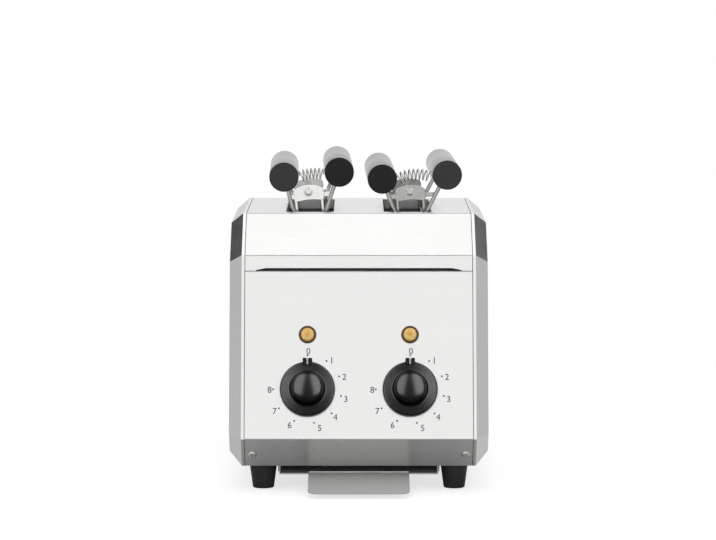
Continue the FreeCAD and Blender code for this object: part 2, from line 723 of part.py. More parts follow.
def timer_body():
    """Clockwork timer behind the panel, with the threaded bush that its shaft turns in."""
    half = TIMER_SIZE / 2
    case = block(-half, half, -half, half, -SHEET - LAP_GAP - TIMER_DEPTH, -SHEET - LAP_GAP)
    upright = [e for e in case.Edges if abs(e.BoundBox.ZLength - TIMER_DEPTH) < 1e-6]
    case = case.makeFillet(5.0, upright)
    bush = Part.makeCylinder(BUSH_DIAMETER / 2, SHEET + NUT_THICK + 1.6, vec(0, 0, -SHEET - LAP_GAP))
    lugs = [block(x - 2.5, x + 2.5, -half - 4, -half + 3, -TIMER_DEPTH, -TIMER_DEPTH + 1.2)
            for x in (-12.0, 0.0, 12.0)]
    bore = Part.makeCylinder(SHAFT_DIAMETER / 2 + FIT_CLEARANCE, SHAFT_LENGTH,
                             vec(0, 0, KNOB_GAP + KNOB_HEIGHT - 6 - SHAFT_LENGTH - SEAT_GAP))
    return joined([case, bush] + lugs).cut(bore)


def timer_nut():
    """Flat nut that clamps the bush to the panel, inside the knob's skirt."""
    nut = hexagon(NUT_ACROSS, NUT_THICK, LAP_GAP)
    return nut.cut(Part.makeCylinder(BUSH_DIAMETER / 2 + FIT_CLEARANCE, 3 * NUT_THICK, vec(0, 0, -NUT_THICK)))


def timer_shaft():
    """Round shaft with a flat for the knob."""
    top = KNOB_GAP + KNOB_HEIGHT - 6
    shaft = Part.makeCylinder(SHAFT_DIAMETER / 2, SHAFT_LENGTH, vec(0, 0, top - SHAFT_LENGTH))
    flat = block(-SHAFT_DIAMETER, SHAFT_DIAMETER, SHAFT_DIAMETER / 2 - SHAFT_FLAT, SHAFT_DIAMETER,
                 KNOB_GAP + KNOB_RECESS + 3, top + 1)
    return shaft.cut(flat)


def knob():
    """Moulded knob: conical skirt, tapered boss with a domed face, pointer over the skirt."""
    base = KNOB_GAP
    skirt = base + KNOB_SKIRT_THICK
    top = base + KNOB_HEIGHT
    recess = KNOB_SKIRT / 2 - 3
    edge = vec(KNOB_FACE / 2, 0, top - KNOB_DOME)
    outline = [vec(0, 0, base + KNOB_RECESS), vec(recess, 0, base + KNOB_RECESS), vec(recess, 0, base),
               vec(KNOB_SKIRT / 2, 0, base), vec(KNOB_SKIRT_TOP / 2, 0, skirt),
               vec(KNOB_BOSS / 2, 0, skirt + 0.6), edge]
    edges = rounded_edges(outline, [0, 0, 0, 0, KNOB_EDGE])
    edges.append(dome_edge(KNOB_FACE / 2, KNOB_DOME, top))
    edges.append(Part.LineSegment(vec(0, 0, top), outline[0]).toShape())
    body = Part.Face(Part.Wire(edges)).revolve(vec(0, 0, 0), vec(0, 0, 1), 360)
    half = POINTER_WIDTH / 2
    pointer = block(-half, half, KNOB_BOSS / 2 - 4, POINTER_REACH, base + 1.2, skirt + 1.4)
    corners = [e for e in pointer.Edges if e.BoundBox.YLength < 1e-6 and e.BoundBox.XLength < 1e-6
               and e.BoundBox.YMin > KNOB_BOSS / 2]
    pointer = pointer.makeFillet(1.2, corners)
    bore_depth = KNOB_HEIGHT - 6 + SEAT_GAP
    bore = Part.makeCylinder(SHAFT_DIAMETER / 2 + FIT_CLEARANCE, bore_depth, vec(0, 0, base))
    flat = block(-SHAFT_DIAMETER, SHAFT_DIAMETER, SHAFT_DIAMETER / 2 - SHAFT_FLAT + FIT_CLEARANCE,
                 SHAFT_DIAMETER, base + KNOB_RECESS + 3 + SEAT_GAP, top)
    return joined([body, pointer]).cut(bore.cut(flat))


def lamp_bezel():
    """Black ring on the panel with a neck through it, open in front for the lens."""
    rim = LAMP_BEZEL / 2
    seat = LAMP_LENS / 2
    neck = LAMP_NECK / 2
    return turned([(seat, -4), (neck, -4), (neck, LAP_GAP), (rim, LAP_GAP), (rim, 1.4),
                   (rim - 1.2, 2.4), (seat, 2.4)])


def lamp_lens():
    """Amber cap with twelve flat facets round a flat top."""
    radius = LAMP_LENS / 2 - FIT_CLEARANCE
    plug = Part.makeCylinder(radius, 4.9, vec(0, 0, -3))
    low = facet_ring(radius, 1.9)
    high = facet_ring(radius * 0.62, 4.2)
    faces = [Part.Face(Part.makePolygon(low)), Part.Face(Part.makePolygon(high))]
    for i in range(12):
        faces.append(Part.Face(Part.makePolygon([low[i], low[i + 1], high[i + 1], high[i], low[i]])))
    return joined([plug, Part.makeSolid(Part.makeShell(faces))])


def facet_ring(radius, z):
    points = [vec(radius * math.cos(math.radians(30 * i)), radius * math.sin(math.radians(30 * i)), z)
              for i in range(12)]
    return points + points[:1]


def lamp_body():
    """Lamp holder behind the bezel with two tags."""
    top = -4 - LAP_GAP
    holder = Part.makeCylinder(LAMP_NECK / 2, LAMP_BODY_LENGTH, vec(0, 0, top - LAMP_BODY_LENGTH))
    tags = [block(x - 1.4, x + 1.4, -0.4, 0.4, top - LAMP_BODY_LENGTH - 8, top - LAMP_BODY_LENGTH + 1)
            for x in (-3.5, 3.5)]
    return joined([holder] + tags)


def crumb_tray():
    """Shallow tray with three walls, whose floor runs out in front into a sloping pull tab."""
    half = TRAY_WIDTH / 2
    outer = block(-half, half, -TRAY_FRONT, TRAY_BACK, TRAY_FLOOR, TRAY_FLOOR + TRAY_WALL)
    hollow = block(-half + SHEET, half - SHEET, -2 * TRAY_FRONT, TRAY_BACK - SHEET,
                   TRAY_FLOOR + SHEET, TRAY_FLOOR + 2 * TRAY_WALL)
    pan = outer.cut(hollow)
    slope = math.radians(TAB_SLOPE)
    bend = (-TRAY_FRONT + 4 * BEND_RADIUS, TRAY_FLOOR)
    knee = (-TRAY_FRONT - BEND_RADIUS, TRAY_FLOOR)
    tip = (knee[0] - TAB_LENGTH * math.cos(slope), knee[1] - TAB_LENGTH * math.sin(slope))
    tab = folded_sheet([tip, knee, bend], SHEET, -TAB_WIDTH / 2, TAB_WIDTH / 2)
    corners = [e for e in tab.Edges if e.BoundBox.XLength < 1e-6 and abs(e.Length - SHEET) < 1e-3
               and e.BoundBox.YMax < tip[0] + 1]
    tab = tab.makeFillet(TAB_CORNER, corners)
    return joined([pan, tab])


def gland():
    """Cable gland seated on the rear panel, drawn with Z outwards."""
    body = GLAND_DIAMETER / 2
    neck = GLAND_BORE / 2 + GLAND_WALL
    return turned([(GLAND_BORE / 2, -10), (neck, -10), (neck, LAP_GAP), (body, LAP_GAP), (body, 4),
                   (body - 1.5, 5.5), (body - 3, GLAND_LENGTH), (GLAND_BORE / 2, GLAND_LENGTH)])


def gland_nut():
    """Nut inside the rear panel, drawn with Z outwards."""
    nut = hexagon(19.0, 4.0, -SHEET - LAP_GAP - 4.0)
    return nut.cut(Part.makeCylinder(GLAND_BORE / 2 + GLAND_WALL + FIT_CLEARANCE, 20, vec(0, 0, -12)))


def terminal_block():
    """Three-pole block on the base beside the gland."""
    width = 34.0
    blocks = [block(-width / 2, width / 2, -9, 9, 0, 14)]
    screws = [Part.makeCylinder(3.0, 3.0, vec(x, 0, 13)) for x in (-11.0, 0.0, 11.0)]
    shape = blocks[0]
    for screw in screws:
        shape = shape.cut(screw)
    shape.translate(vec(GLAND_X, SHIELD_Y + 30, BASE_TOP))
    return shape


def hinge_frame(place):
    """The placement of one tong: its pin's middle, its lean in the slot and its turn."""
    turn = FreeCAD.Rotation(vec(0, 0, 1), place["yaw"]).multiply(
        FreeCAD.Rotation(vec(0, 1, 0), -place["tilt"]))
    return FreeCAD.Placement(vec(place["x"], 0, PIN_HEIGHT), turn).toMatrix()


def handle_centre(place, half):
    side = -1 if half == "left" else 1
    radius = HANDLE_DIAMETER / 2
    return (side * (place["reach"][half] + radius), place["rise"] + radius)


def arm_points(place, half, y):
    """Handle middle, knee and jaw tip of one arm."""
    side = -1 if half == "left" else 1
    x, z = handle_centre(place, half)
    return [vec(x, y, z), vec(side * KNEE_HALF, y, -KNEE_DROP), vec(side * JAW_TIP_HALF, y, -JAW_DROP)]


def jaw_point(half, y, drop):
    """A point on the jaw's plane at a height below the pin."""
    side = -1 if half == "left" else 1
    share = (drop - KNEE_DROP) / (JAW_DROP - KNEE_DROP)
    return vec(side * (KNEE_HALF + (JAW_TIP_HALF - KNEE_HALF) * share), y, -drop)


def tong_frame(place, half):
    """One half of a tong: a bent wire loop, its jaw strips, and an ear plate at each end."""
    y = ARM_HALF[half]
    front = arm_points(place, half, -y)
    back = arm_points(place, half, y)
    way = (front[0] - front[1]).normalize()
    start = front[0] - way * 3
    end = back[0] - way * 3
    path = [start, front[1], front[2], back[2], back[1], end]
    edges = rounded_edges(path, [KNEE_RADIUS, JAW_CORNER, JAW_CORNER, KNEE_RADIUS])
    loop = Part.Wire(edges).makePipeShell([wire_section(start, way, ARM_WIRE, 8)], True, False)
    rail_end = y - ARM_WIRE / 2 - LAP_GAP
    rails = [rod(jaw_point(half, -rail_end, drop), jaw_point(half, rail_end, drop), JAW_RAIL)
             for drop in (JAW_TOP_DROP, (JAW_TOP_DROP + JAW_DROP) / 2)]
    ear = ear_plate(place, half)
    front_ear = ear.translated(vec(0, -ear_face(half), 0))
    back_ear = ear.translated(vec(0, ear_face(half) - EAR_THICK, 0))
    return group([loop, front_ear, back_ear] + rails + jaw_strips(half, y))


def ear_face(half):
    """How far the outer faces of one half's ears are from the tong's middle, inside its wire."""
    return ARM_HALF[half] - ARM_WIRE / 2 - LAP_GAP


def jaw_strips(half, y):
    """Upright flat strips on the inner side of the rails, from the top rail to the tip wire."""
    top = jaw_point(half, 0, JAW_TOP_DROP - JAW_RAIL)
    tip = jaw_point(half, 0, JAW_DROP)
    down = (tip - top).normalize()
    inward = down.cross(vec(0, 1, 0))
    if inward.x * tip.x > 0:
        inward = -inward
    near = ARM_WIRE / 2 + LAP_GAP
    thick = inward * JAW_STRIP_THICK
    corners = [top + inward * near, tip + inward * near, tip + inward * near + thick,
               top + inward * near + thick]
    strip = Part.Face(Part.makePolygon(corners + corners[:1])).extrude(vec(0, JAW_STRIP_WIDTH, 0))
    pitch = 2 * y / (JAW_BARS + 1)
    return [strip.translated(vec(0, -y + pitch * (i + 1) - JAW_STRIP_WIDTH / 2, 0)) for i in range(JAW_BARS)]


def ear_plate(place, half):
    """Arched plate from its own arm past the pin, with a leg down to the wire and a pin hole."""
    side = -1 if half == "left" else 1
    arm = arm_points(place, half, 0)

    def on_arm(z):
        share = (z - arm[1].z) / (arm[0].z - arm[1].z)
        return vec(arm[1].x + (arm[0].x - arm[1].x) * share, 0, z)

    top_near = on_arm(0.5)
    top_far = vec(-side * (KNEE_HALF - 1.5), 0, 4.0)
    low_far = vec(-side * (KNEE_HALF - 2.0), 0, -8.6)
    leg_inside = vec(side * (KNEE_HALF - 4.0), 0, -8.4)
    low_leg = jaw_point(half, 0, KNEE_DROP + 8)
    edges = [
        Part.Arc(top_near, vec(side * 2.0, 0, 9.4), top_far).toShape(),
        Part.Arc(top_far, vec(-side * (KNEE_HALF + 0.2), 0, -2.5), low_far).toShape(),
        Part.Arc(low_far, vec(side * 0.5, 0, -7.4), leg_inside).toShape(),
        Part.LineSegment(leg_inside, low_leg - vec(side * 1.6, 0, 0)).toShape(),
        Part.LineSegment(low_leg - vec(side * 1.6, 0, 0), low_leg).toShape(),
        Part.LineSegment(low_leg, on_arm(-KNEE_DROP)).toShape(),
        Part.LineSegment(on_arm(-KNEE_DROP), top_near).toShape(),
    ]
    plate = Part.Face(Part.Wire(edges)).extrude(vec(0, EAR_THICK, 0))
    hole = Part.makeCylinder(PIN_DIAMETER / 2 + FIT_CLEARANCE, 3 * EAR_THICK,
                             vec(0, -EAR_THICK, 0), vec(0, 1, 0))
    return plate.cut(hole).cut(window_in_ear(half, on_arm))


def window_in_ear(half, on_arm):
    """The open triangle between the wire and the ear's leg."""
    side = -1 if half == "left" else 1
    low_leg = jaw_point(half, 0, KNEE_DROP + 8)
    past = vec(side * ARM_WIRE, 0, 0)
    points = [on_arm(-10.0), on_arm(-10.0) + past, jaw_point(half, 0, KNEE_DROP + 4) + past,
              jaw_point(half, 0, KNEE_DROP + 4), low_leg - vec(side * 1.6, 0, -5.0),
              vec(side * (KNEE_HALF - 1.8), 0, -10.4)]
    outline = Part.makePolygon(points + points[:1])
    return Part.Face(outline).extrude(vec(0, 3 * EAR_THICK, 0)).translated(vec(0, -EAR_THICK, 0))


def tong_handle(place, half):
    """Straight round grip with chamfered ends and two holes for the arms."""
    x, z = handle_centre(place, half)
    radius = HANDLE_DIAMETER / 2
    end = HANDLE_LENGTH / 2
    rim = radius - HANDLE_CHAMFER
    grip = turned([(0, -end), (rim, -end), (radius, HANDLE_CHAMFER - end), (radius, end - HANDLE_CHAMFER),
                   (rim, end), (0, end)])
    grip.rotate(vec(0, 0, 0), vec(1, 0, 0), 90)
    grip.translate(vec(x, 0, z))
    for y in (-ARM_HALF[half], ARM_HALF[half]):
        centre, knee, _ = arm_points(place, half, y)
        grip = grip.cut(rod(centre, knee, ARM_WIRE + 2 * FIT_CLEARANCE))
    return grip


def tong_pins():
    """Rivets through the paired ears at the front and the back."""
    outer = ear_face("left") + 2 * FIT_CLEARANCE
    inner = ear_face("right") - EAR_THICK - 2 * FIT_CLEARANCE
    shank = PIN_DIAMETER / 2
    head = PIN_HEAD / 2
    pin = turned([(0, inner - PIN_HEAD_THICK), (head, inner - PIN_HEAD_THICK), (head, inner), (shank, inner),
                  (shank, outer), (head, outer), (head, outer + PIN_HEAD_THICK), (0, outer + PIN_HEAD_THICK)])
    pin.rotate(vec(0, 0, 0), vec(1, 0, 0), 90)
    return group([pin, mirrored_y(pin)])


def wire_section(start, way, diameter, sides):
    """Many-sided section of a bent wire, square to its start."""
    across = way.cross(vec(0.3, 1, 0)).normalize()
    upright = across.cross(way).normalize()
    step = 2 * math.pi / sides
    corners = [start + (across * math.cos(step * i) + upright * math.sin(step * i)) * (diameter / 2)
               for i in range(sides)]
    return Part.makePolygon(corners + corners[:1])


def biarc(start, start_way, end, end_way):
    """Two tangent arcs between two points with given directions."""
    gap = end - start
    total = start_way + end_way
    a = 2 * (1 - start_way.dot(end_way))
    b = 2 * gap.dot(total)
    c = -gap.dot(gap)
    reach = (-b + math.sqrt(b * b - 4 * a * c)) / (2 * a) if a > 1e-9 else -c / b
    first = start + start_way * reach
    second = end - end_way * reach
    meeting = (first + second) * 0.5
    return [arc_between(start, first, meeting), arc_between(meeting, second, end)]


def arc_between(start, corner, end):
    """The arc that touches both legs of a corner with equal legs."""
    inward = (start + end) * 0.5 - corner
    half_turn = math.atan2(inward.Length, (end - start).Length / 2)
    leg = (corner - start).Length
    radius = leg / math.tan(half_turn)
    middle = corner + inward.normalize() * (radius / math.cos(half_turn) - radius)
    return Part.Arc(start, middle, end).toShape()


def spring_line(place, turn_share):
    """A point and a direction on the spring's wire, at a share of its wound length.

    The middle line is an arc between the handles, and the wire circles it at a steady rate.
    """
    clear = SPRING_END_GAP + SPRING_WIRE / 2
    x0 = -place["reach"]["left"] + clear
    x1 = place["reach"]["right"] - clear
    half_span = (x1 - x0) / 2
    half_angle = math.asin(half_span / SPRING_BOW)
    radius = (SPRING_OUTER - SPRING_WIRE) / 2
    spin = 2 * math.pi * SPRING_COILS
    middle = (x0 + x1) / 2
    low = handle_centre(place, "left")[1] - SPRING_BOW * math.cos(half_angle)

    def point(share):
        lean = half_angle * (2 * share - 1)
        out = vec(math.sin(lean), 0, math.cos(lean))
        phase = spin * share
        centre = vec(middle, SPRING_PLACE, low) + out * SPRING_BOW
        return centre + out * (radius * math.sin(phase)) + vec(0, 1, 0) * (radius * math.cos(phase))

    step = 1e-5
    way = (point(turn_share + step) - point(turn_share - step)).normalize()
    return point(turn_share), way


def tong_spring(place):
    """Bowed coil spring from handle to handle, one unbroken wire with straight ends."""
    halves = SPRING_COILS * 2
    stations = [spring_line(place, i / halves) for i in range(halves + 1)]
    edges = []
    first, first_way = stations[0]
    last, last_way = stations[-1]
    start = first - first_way * (SPRING_WIRE / 2)
    edges.append(Part.LineSegment(start, first).toShape())
    for (p, p_way), (q, q_way) in zip(stations, stations[1:]):
        edges += biarc(p, p_way, q, q_way)
    edges.append(Part.LineSegment(last, last + last_way * (SPRING_WIRE / 2)).toShape())
    return Part.Wire(edges).makePipeShell([wire_section(start, first_way, SPRING_WIRE, 6)], True, False)


def spring_gap(place):
    """The least gap between one turn of the spring and the next, on sampled points."""
    per_turn = 24
    count = SPRING_COILS * per_turn
    points = [spring_line(place, i / count)[0] for i in range(count + 1)]
    least = min((points[i] - points[j]).Length
                for i in range(count + 1) for j in range(i + per_turn // 2, count + 1))
    return least - SPRING_WIRE


def build_parts():
    """Every node's shape, by name, before the origin is moved."""
    parts = {
        "top_cover": top_cover(),
        "front_panel": front_panel(),
        "rear_panel": rear_panel(),
        "right_side_panel": side_panel(),
        "base_plate": base_plate(),
        "tray_rails": tray_rails(),
        "rubber_feet": rubber_feet(),
        "foot_screws": foot_screws(),
        "panel_screws": panel_screws(),
        "left_chamber_liner": chamber_liner(-1),
        "right_chamber_liner": chamber_liner(1),
        "quartz_tubes": quartz_tubes(),
        "ceramic_holders": ceramic_holders(),
        "heater_guards": heater_guards(),
        "jaw_rest_bars": rest_bars(),
        "front_heat_shield": heat_shield(),
        "rear_heat_shield": mirrored_y(heat_shield()),
        "crumb_tray": crumb_tray(),
        "cable_gland": mirrored_y(on_panel(gland(), GLAND_X, GLAND_UP)),
        "cable_gland_nut": mirrored_y(on_panel(gland_nut(), GLAND_X, GLAND_UP)),
        "terminal_block": terminal_block(),
    }
    parts["left_side_panel"] = mirrored_x(parts["right_side_panel"])
    for name, side in (("left", -1), ("right", 1)):
        x = side * CONTROL_SPACING / 2
        parts[name + "_timer"] = on_panel(timer_body(), x, KNOB_HEIGHT_UP)
        parts[name + "_timer_nut"] = on_panel(timer_nut(), x, KNOB_HEIGHT_UP)
        parts[name + "_timer_shaft"] = on_panel(timer_shaft(), x, KNOB_HEIGHT_UP)
        parts[name + "_knob"] = on_panel(knob(), x, KNOB_HEIGHT_UP)
        parts[name + "_lamp_bezel"] = on_panel(lamp_bezel(), x, LAMP_HEIGHT_UP)
        parts[name + "_lamp_lens"] = on_panel(lamp_lens(), x, LAMP_HEIGHT_UP)
        parts[name + "_lamp_holder"] = on_panel(lamp_body(), x, LAMP_HEIGHT_UP)
    for tong, place in TONG_PLACES.items():
        frame = hinge_frame(place)
        for half in ("left", "right"):
            parts[tong + "_tong_" + half + "_frame"] = tong_frame(place, half).transformed(frame)
            parts[tong + "_tong_" + half + "_handle"] = tong_handle(place, half).transformed(frame)
        parts[tong + "_tong_pins"] = tong_pins().transformed(frame)
        parts[tong + "_tong_spring"] = tong_spring(place).transformed(frame)
    return parts


def main():
    os.makedirs("parts", exist_ok=True)
    parts = build_parts()
    front = parts["crumb_tray"].optimalBoundingBox(False, False).YMin
    back = parts["cable_gland"].optimalBoundingBox(False, False).YMax
    shift = -(front + back) / 2
    for tong, place in TONG_PLACES.items():
        print(tong, "spring gap to itself", round(spring_gap(place), 2), "mm")
    print("origin moved along Y by", round(shift, 4), "mm")
    for name, shape in parts.items():
        placed = shape.translated(vec(0, shift, 0))
        if not placed.isValid():
            print("not valid:", name)
        placed.exportStep("parts/" + name + ".step")
    print(len(parts), "nodes")


main()
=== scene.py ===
import bpy
import json
import math
import numpy as np
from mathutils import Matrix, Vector


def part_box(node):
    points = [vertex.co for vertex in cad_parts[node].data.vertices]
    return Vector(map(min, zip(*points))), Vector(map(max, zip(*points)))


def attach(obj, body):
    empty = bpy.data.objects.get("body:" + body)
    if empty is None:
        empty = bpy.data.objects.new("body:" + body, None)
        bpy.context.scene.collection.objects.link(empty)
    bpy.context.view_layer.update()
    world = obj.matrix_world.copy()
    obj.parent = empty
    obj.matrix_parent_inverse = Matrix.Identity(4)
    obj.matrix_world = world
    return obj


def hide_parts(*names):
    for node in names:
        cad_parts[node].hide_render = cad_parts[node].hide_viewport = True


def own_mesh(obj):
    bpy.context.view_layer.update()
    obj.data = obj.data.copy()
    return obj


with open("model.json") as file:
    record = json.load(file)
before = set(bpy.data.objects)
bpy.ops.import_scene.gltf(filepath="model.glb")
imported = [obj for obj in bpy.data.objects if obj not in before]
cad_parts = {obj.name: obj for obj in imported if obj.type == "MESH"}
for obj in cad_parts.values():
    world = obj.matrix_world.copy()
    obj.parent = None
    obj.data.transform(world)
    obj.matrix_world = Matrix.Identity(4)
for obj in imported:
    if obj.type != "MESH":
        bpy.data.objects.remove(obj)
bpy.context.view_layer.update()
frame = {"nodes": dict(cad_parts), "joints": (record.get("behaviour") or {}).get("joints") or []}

bl_info = {
    "name": "Two-slot toaster with tongs",
    "version": (1, 0, 0),
    "blender": (4, 5, 0),
    "location": "View3D > Sidebar > Toaster",
    "description": "Finishes a two-slot toaster's frame with smooth pieces, materials and a studio",
    "category": "Object",
}

MM = 0.001
# The printed numbers 0 to 8, across and up from the dial's middle in millimetres.
NUMERAL_PLACES = ((0.8, 34.5), (21.7, 26.0), (33.0, 11.2), (34.4, -8.7), (25.0, -25.0),
                  (11.0, -34.8), (-15.8, -32.2), (-29.2, -19.6), (-33.9, -0.4))
DIAL_STEP = math.radians(270) / (len(NUMERAL_PLACES) - 1)
JAW_STRIPS = 5
SIDES = ("left", "right")
JOINTS = {joint["name"]: joint for joint in frame["joints"]}


# Colours and small helpers

def linear(code):
    """An sRGB hex code as linear red, green, blue."""
    parts = np.array([int(code[i:i + 2], 16) for i in (1, 3, 5)]) / 255
    low = parts / 12.92
    high = ((parts + 0.055) / 1.055) ** 2.4
    return tuple(float(v) for v in np.where(parts <= 0.04045, low, high))


def rgba(shade):
    """A linear colour with full opacity, from an sRGB hex code or a colour property."""
    return (*(linear(shade) if isinstance(shade, str) else shade), 1.0)


def unit(v):
    """A direction with length 1."""
    v = np.asarray(v, float)
    return v / np.linalg.norm(v)


def node_box(name):
    """A node's corners as numpy rows."""
    low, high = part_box(name)
    return np.array(low), np.array(high)


# Mesh from surfaces

def grid_faces(rows, columns, close_rows=False, close_columns=False):
    """Quads of a grid of points whose index is row times columns plus column."""
    index = np.arange(rows * columns).reshape(rows, columns)
    if close_rows:
        index = np.vstack([index, index[:1]])
    if close_columns:
        index = np.hstack([index, index[:, :1]])
    quads = np.stack([index[:-1, :-1], index[:-1, 1:], index[1:, 1:], index[1:, :-1]], axis=-1)
    return [tuple(quad) for quad in quads.reshape(-1, 4).tolist()]


def make_piece(name, points, faces, material, body, slot, smooth=True, sharp=math.radians(32)):
    """One mesh object at the origin, shaded smooth below the sharp angle, riding on a body."""
    mesh = bpy.data.meshes.new(name)
    mesh.from_pydata(np.asarray(points).tolist(), [], faces)
    mesh.validate()
    mesh.materials.append(material)
    piece = bpy.data.objects.new(name, mesh)
    bpy.context.scene.collection.objects.link(piece)
    if smooth:
        mesh.shade_smooth()
        mesh.set_sharp_from_angle(angle=sharp)
    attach(piece, body)
    return piece


def turned(profile, origin, axis, up, steps=64):
    """A profile of radius and height turned about an axis.

    point = origin + height * axis + radius * (cos angle * right + sin angle * above).
    """
    profile = np.asarray(profile, float)
    axis = unit(axis)
    right = unit(np.cross(up, axis))
    above = np.cross(axis, right)
    angle = np.linspace(0, 2 * np.pi, steps, endpoint=False)
    ring = np.cos(angle)[:, None] * right + np.sin(angle)[:, None] * above
    radius = profile[:, 0][:, None, None]
    height = profile[:, 1][:, None, None]
    points = np.asarray(origin) + height * axis + radius * ring[None]
    return points.reshape(-1, 3), grid_faces(len(profile), steps, close_columns=True)


def capped(points, faces, rows, columns):
    """Adds one face over the first ring and one over the last ring of a tube."""
    first = tuple(range(columns))[::-1]
    last = tuple(range((rows - 1) * columns, rows * columns))
    return points, [*faces, first, last]


def fillet(points, radii, steps=6):
    """A flat chain of points whose inner corners become arcs.

    Each arc touches both legs at radius times the tangent of half the turn.
    """
    points = np.asarray(points, float)
    chain = [points[0]]
    for before, corner, after, radius in zip(points, points[1:], points[2:], radii):
        if radius <= 0:
            chain.append(corner)
            continue
        inward = unit(before - corner)
        outward = unit(after - corner)
        turn = math.pi - math.acos(float(np.clip(np.dot(inward, outward), -1, 1)))
        reach = radius * math.tan(turn / 2)
        bisector = unit(inward + outward)
        centre = corner + bisector * (radius / math.cos(turn / 2))
        start = corner + inward * reach - centre
        end = corner + outward * reach - centre
        share = np.linspace(0, 1, steps)[:, None]
        arc = (np.sin((1 - share) * turn) * start + np.sin(share * turn) * end) / math.sin(turn)
        chain.extend(centre + arc)
    chain.append(points[-1])
    return np.array(chain)


def tube_frames(path):
    """Unit tangents and two cross directions along a path, turned as little as possible."""
    path = np.asarray(path, float)
    tangent = np.gradient(path, axis=0)
    tangent /= np.linalg.norm(tangent, axis=1)[:, None]
    across = np.empty_like(path)
    seed = np.array([0.0, 0, 1]) if abs(tangent[0, 2]) < 0.9 else np.array([1.0, 0, 0])
    across[0] = unit(np.cross(tangent[0], seed))
    for i in range(1, len(path)):
        across[i] = unit(across[i - 1] - tangent[i] * np.dot(across[i - 1], tangent[i]))
    return tangent, across, np.cross(tangent, across)


def tube(path, radius, sides=16):
    """A round wire along a path, closed at both ends.

    point = path + radius * (cos angle * across + sin angle * upright).
    """
    path = np.asarray(path, float)
    _, across, upright = tube_frames(path)
    angle = np.linspace(0, 2 * np.pi, sides, endpoint=False)
    ring = (np.cos(angle)[None, :, None] * across[:, None]
            + np.sin(angle)[None, :, None] * upright[:, None])
    radius = np.broadcast_to(np.asarray(radius, float), (len(path),))
    points = path[:, None] + radius[:, None, None] * ring
    faces = grid_faces(len(path), sides, close_columns=True)
    return capped(points.reshape(-1, 3), faces, len(path), sides)


def arc(start, middle, end, steps=14):
    """Points on the circle through three flat points, from the first to the last.

    The centre solves |c - start| = |c - middle| = |c - end|.
    """
    start, middle, end = (np.asarray(v, float) for v in (start, middle, end))
    sides = 2 * np.array([middle - start, end - start])
    squares = np.array([middle @ middle - start @ start, end @ end - start @ start])
    centre = np.linalg.solve(sides, squares)
    first, halfway, last = (math.atan2(*(v - centre)[::-1]) for v in (start, middle, end))
    turn = (last - first) % (2 * math.pi)
    if (halfway - first) % (2 * math.pi) > turn:
        turn -= 2 * math.pi
    angle = first + turn * np.linspace(0, 1, steps)
    return centre + math.dist(start, centre) * np.stack([np.cos(angle), np.sin(angle)], axis=1)


def plate(outline, origin, right, up, thick, bevel, hole=0.0):
    """A flat outline made a plate with bevelled edges, with a round hole about its origin if asked.

    Each ring of points is the outline moved inwards by 0 or the bevel, at one of four depths.
    A hole adds a ring at its radius on either face.
    """
    outline = np.asarray(outline, float)
    following = np.roll(outline, -1, axis=0)
    if np.sum(outline[:, 0] * following[:, 1] - following[:, 0] * outline[:, 1]) < 0:
        outline = outline[::-1]
    edge = np.roll(outline, -1, axis=0) - np.roll(outline, 1, axis=0)
    edge /= np.linalg.norm(edge, axis=1)[:, None]
    inset = outline + bevel * np.stack([-edge[:, 1], edge[:, 0]], axis=1)
    right, up = unit(right), unit(up)
    forward = np.cross(right, up)
    rings = [(inset, -thick / 2), (outline, bevel - thick / 2),
             (outline, thick / 2 - bevel), (inset, thick / 2)]
    if hole:
        rim = hole * outline / np.linalg.norm(outline, axis=1)[:, None]
        rings = [(rim, -thick / 2)] + rings + [(rim, thick / 2)]
    points = [np.asarray(origin) + flat[:, :1] * right + flat[:, 1:] * up + depth * forward
              for flat, depth in rings]
    count = len(outline)
    faces = grid_faces(len(rings), count, close_rows=bool(hole), close_columns=True)
    if hole:
        return np.vstack(points), faces
    return capped(np.vstack(points), faces, len(rings), count)


def domed_rod(start, end, radius, sides=16):
    """A straight wire with rounded ends.

    At a distance of radius * (1 - cos turn) from an end it is radius * sin turn thick.
    """
    start, end = np.asarray(start, float), np.asarray(end, float)
    way = unit(end - start)
    turn = np.linspace(0.15, math.pi / 2, 5)
    steps = radius * (1 - np.cos(turn))
    rise = radius * np.sin(turn)
    path = np.vstack([start + steps[:, None] * way, (end - steps[:, None] * way)[::-1]])
    return tube(path, np.concatenate([rise, rise[::-1]]), sides)


def together(*parts):
    """Several point and face sets as one."""
    points = []
    faces = []
    count = 0
    for part_points, part_faces in parts:
        part_points = np.asarray(part_points)
        points.append(part_points)
        faces += [tuple(i + count for i in face) for face in part_faces]
        count += len(part_points)
    return np.vstack(points), faces


# Materials

def add_node(tree, kind, settings=None, **links):
    """Adds one node, sets its inputs or properties, and links the rest by input name."""
    node = tree.nodes.new(kind)
    for key, value in (settings or {}).items():
        if key in node.inputs:
            node.inputs[key].default_value = value
        else:
            setattr(node, key, value)
    for key, source in links.items():
        tree.links.new(source, node.inputs[key.replace("_", " ")])
    return node


def new_material(name):
    """A material with a Principled shader; returns the material, its tree and the shader."""
    material = bpy.data.materials.new(name)
    material.use_nodes = True
    tree = material.node_tree
    tree.nodes.clear()
    shader = add_node(tree, "ShaderNodeBsdfPrincipled")
    out = add_node(tree, "ShaderNodeOutputMaterial", Surface=shader.outputs["BSDF"])
    out.location = (400, 0)
    return material, tree, shader


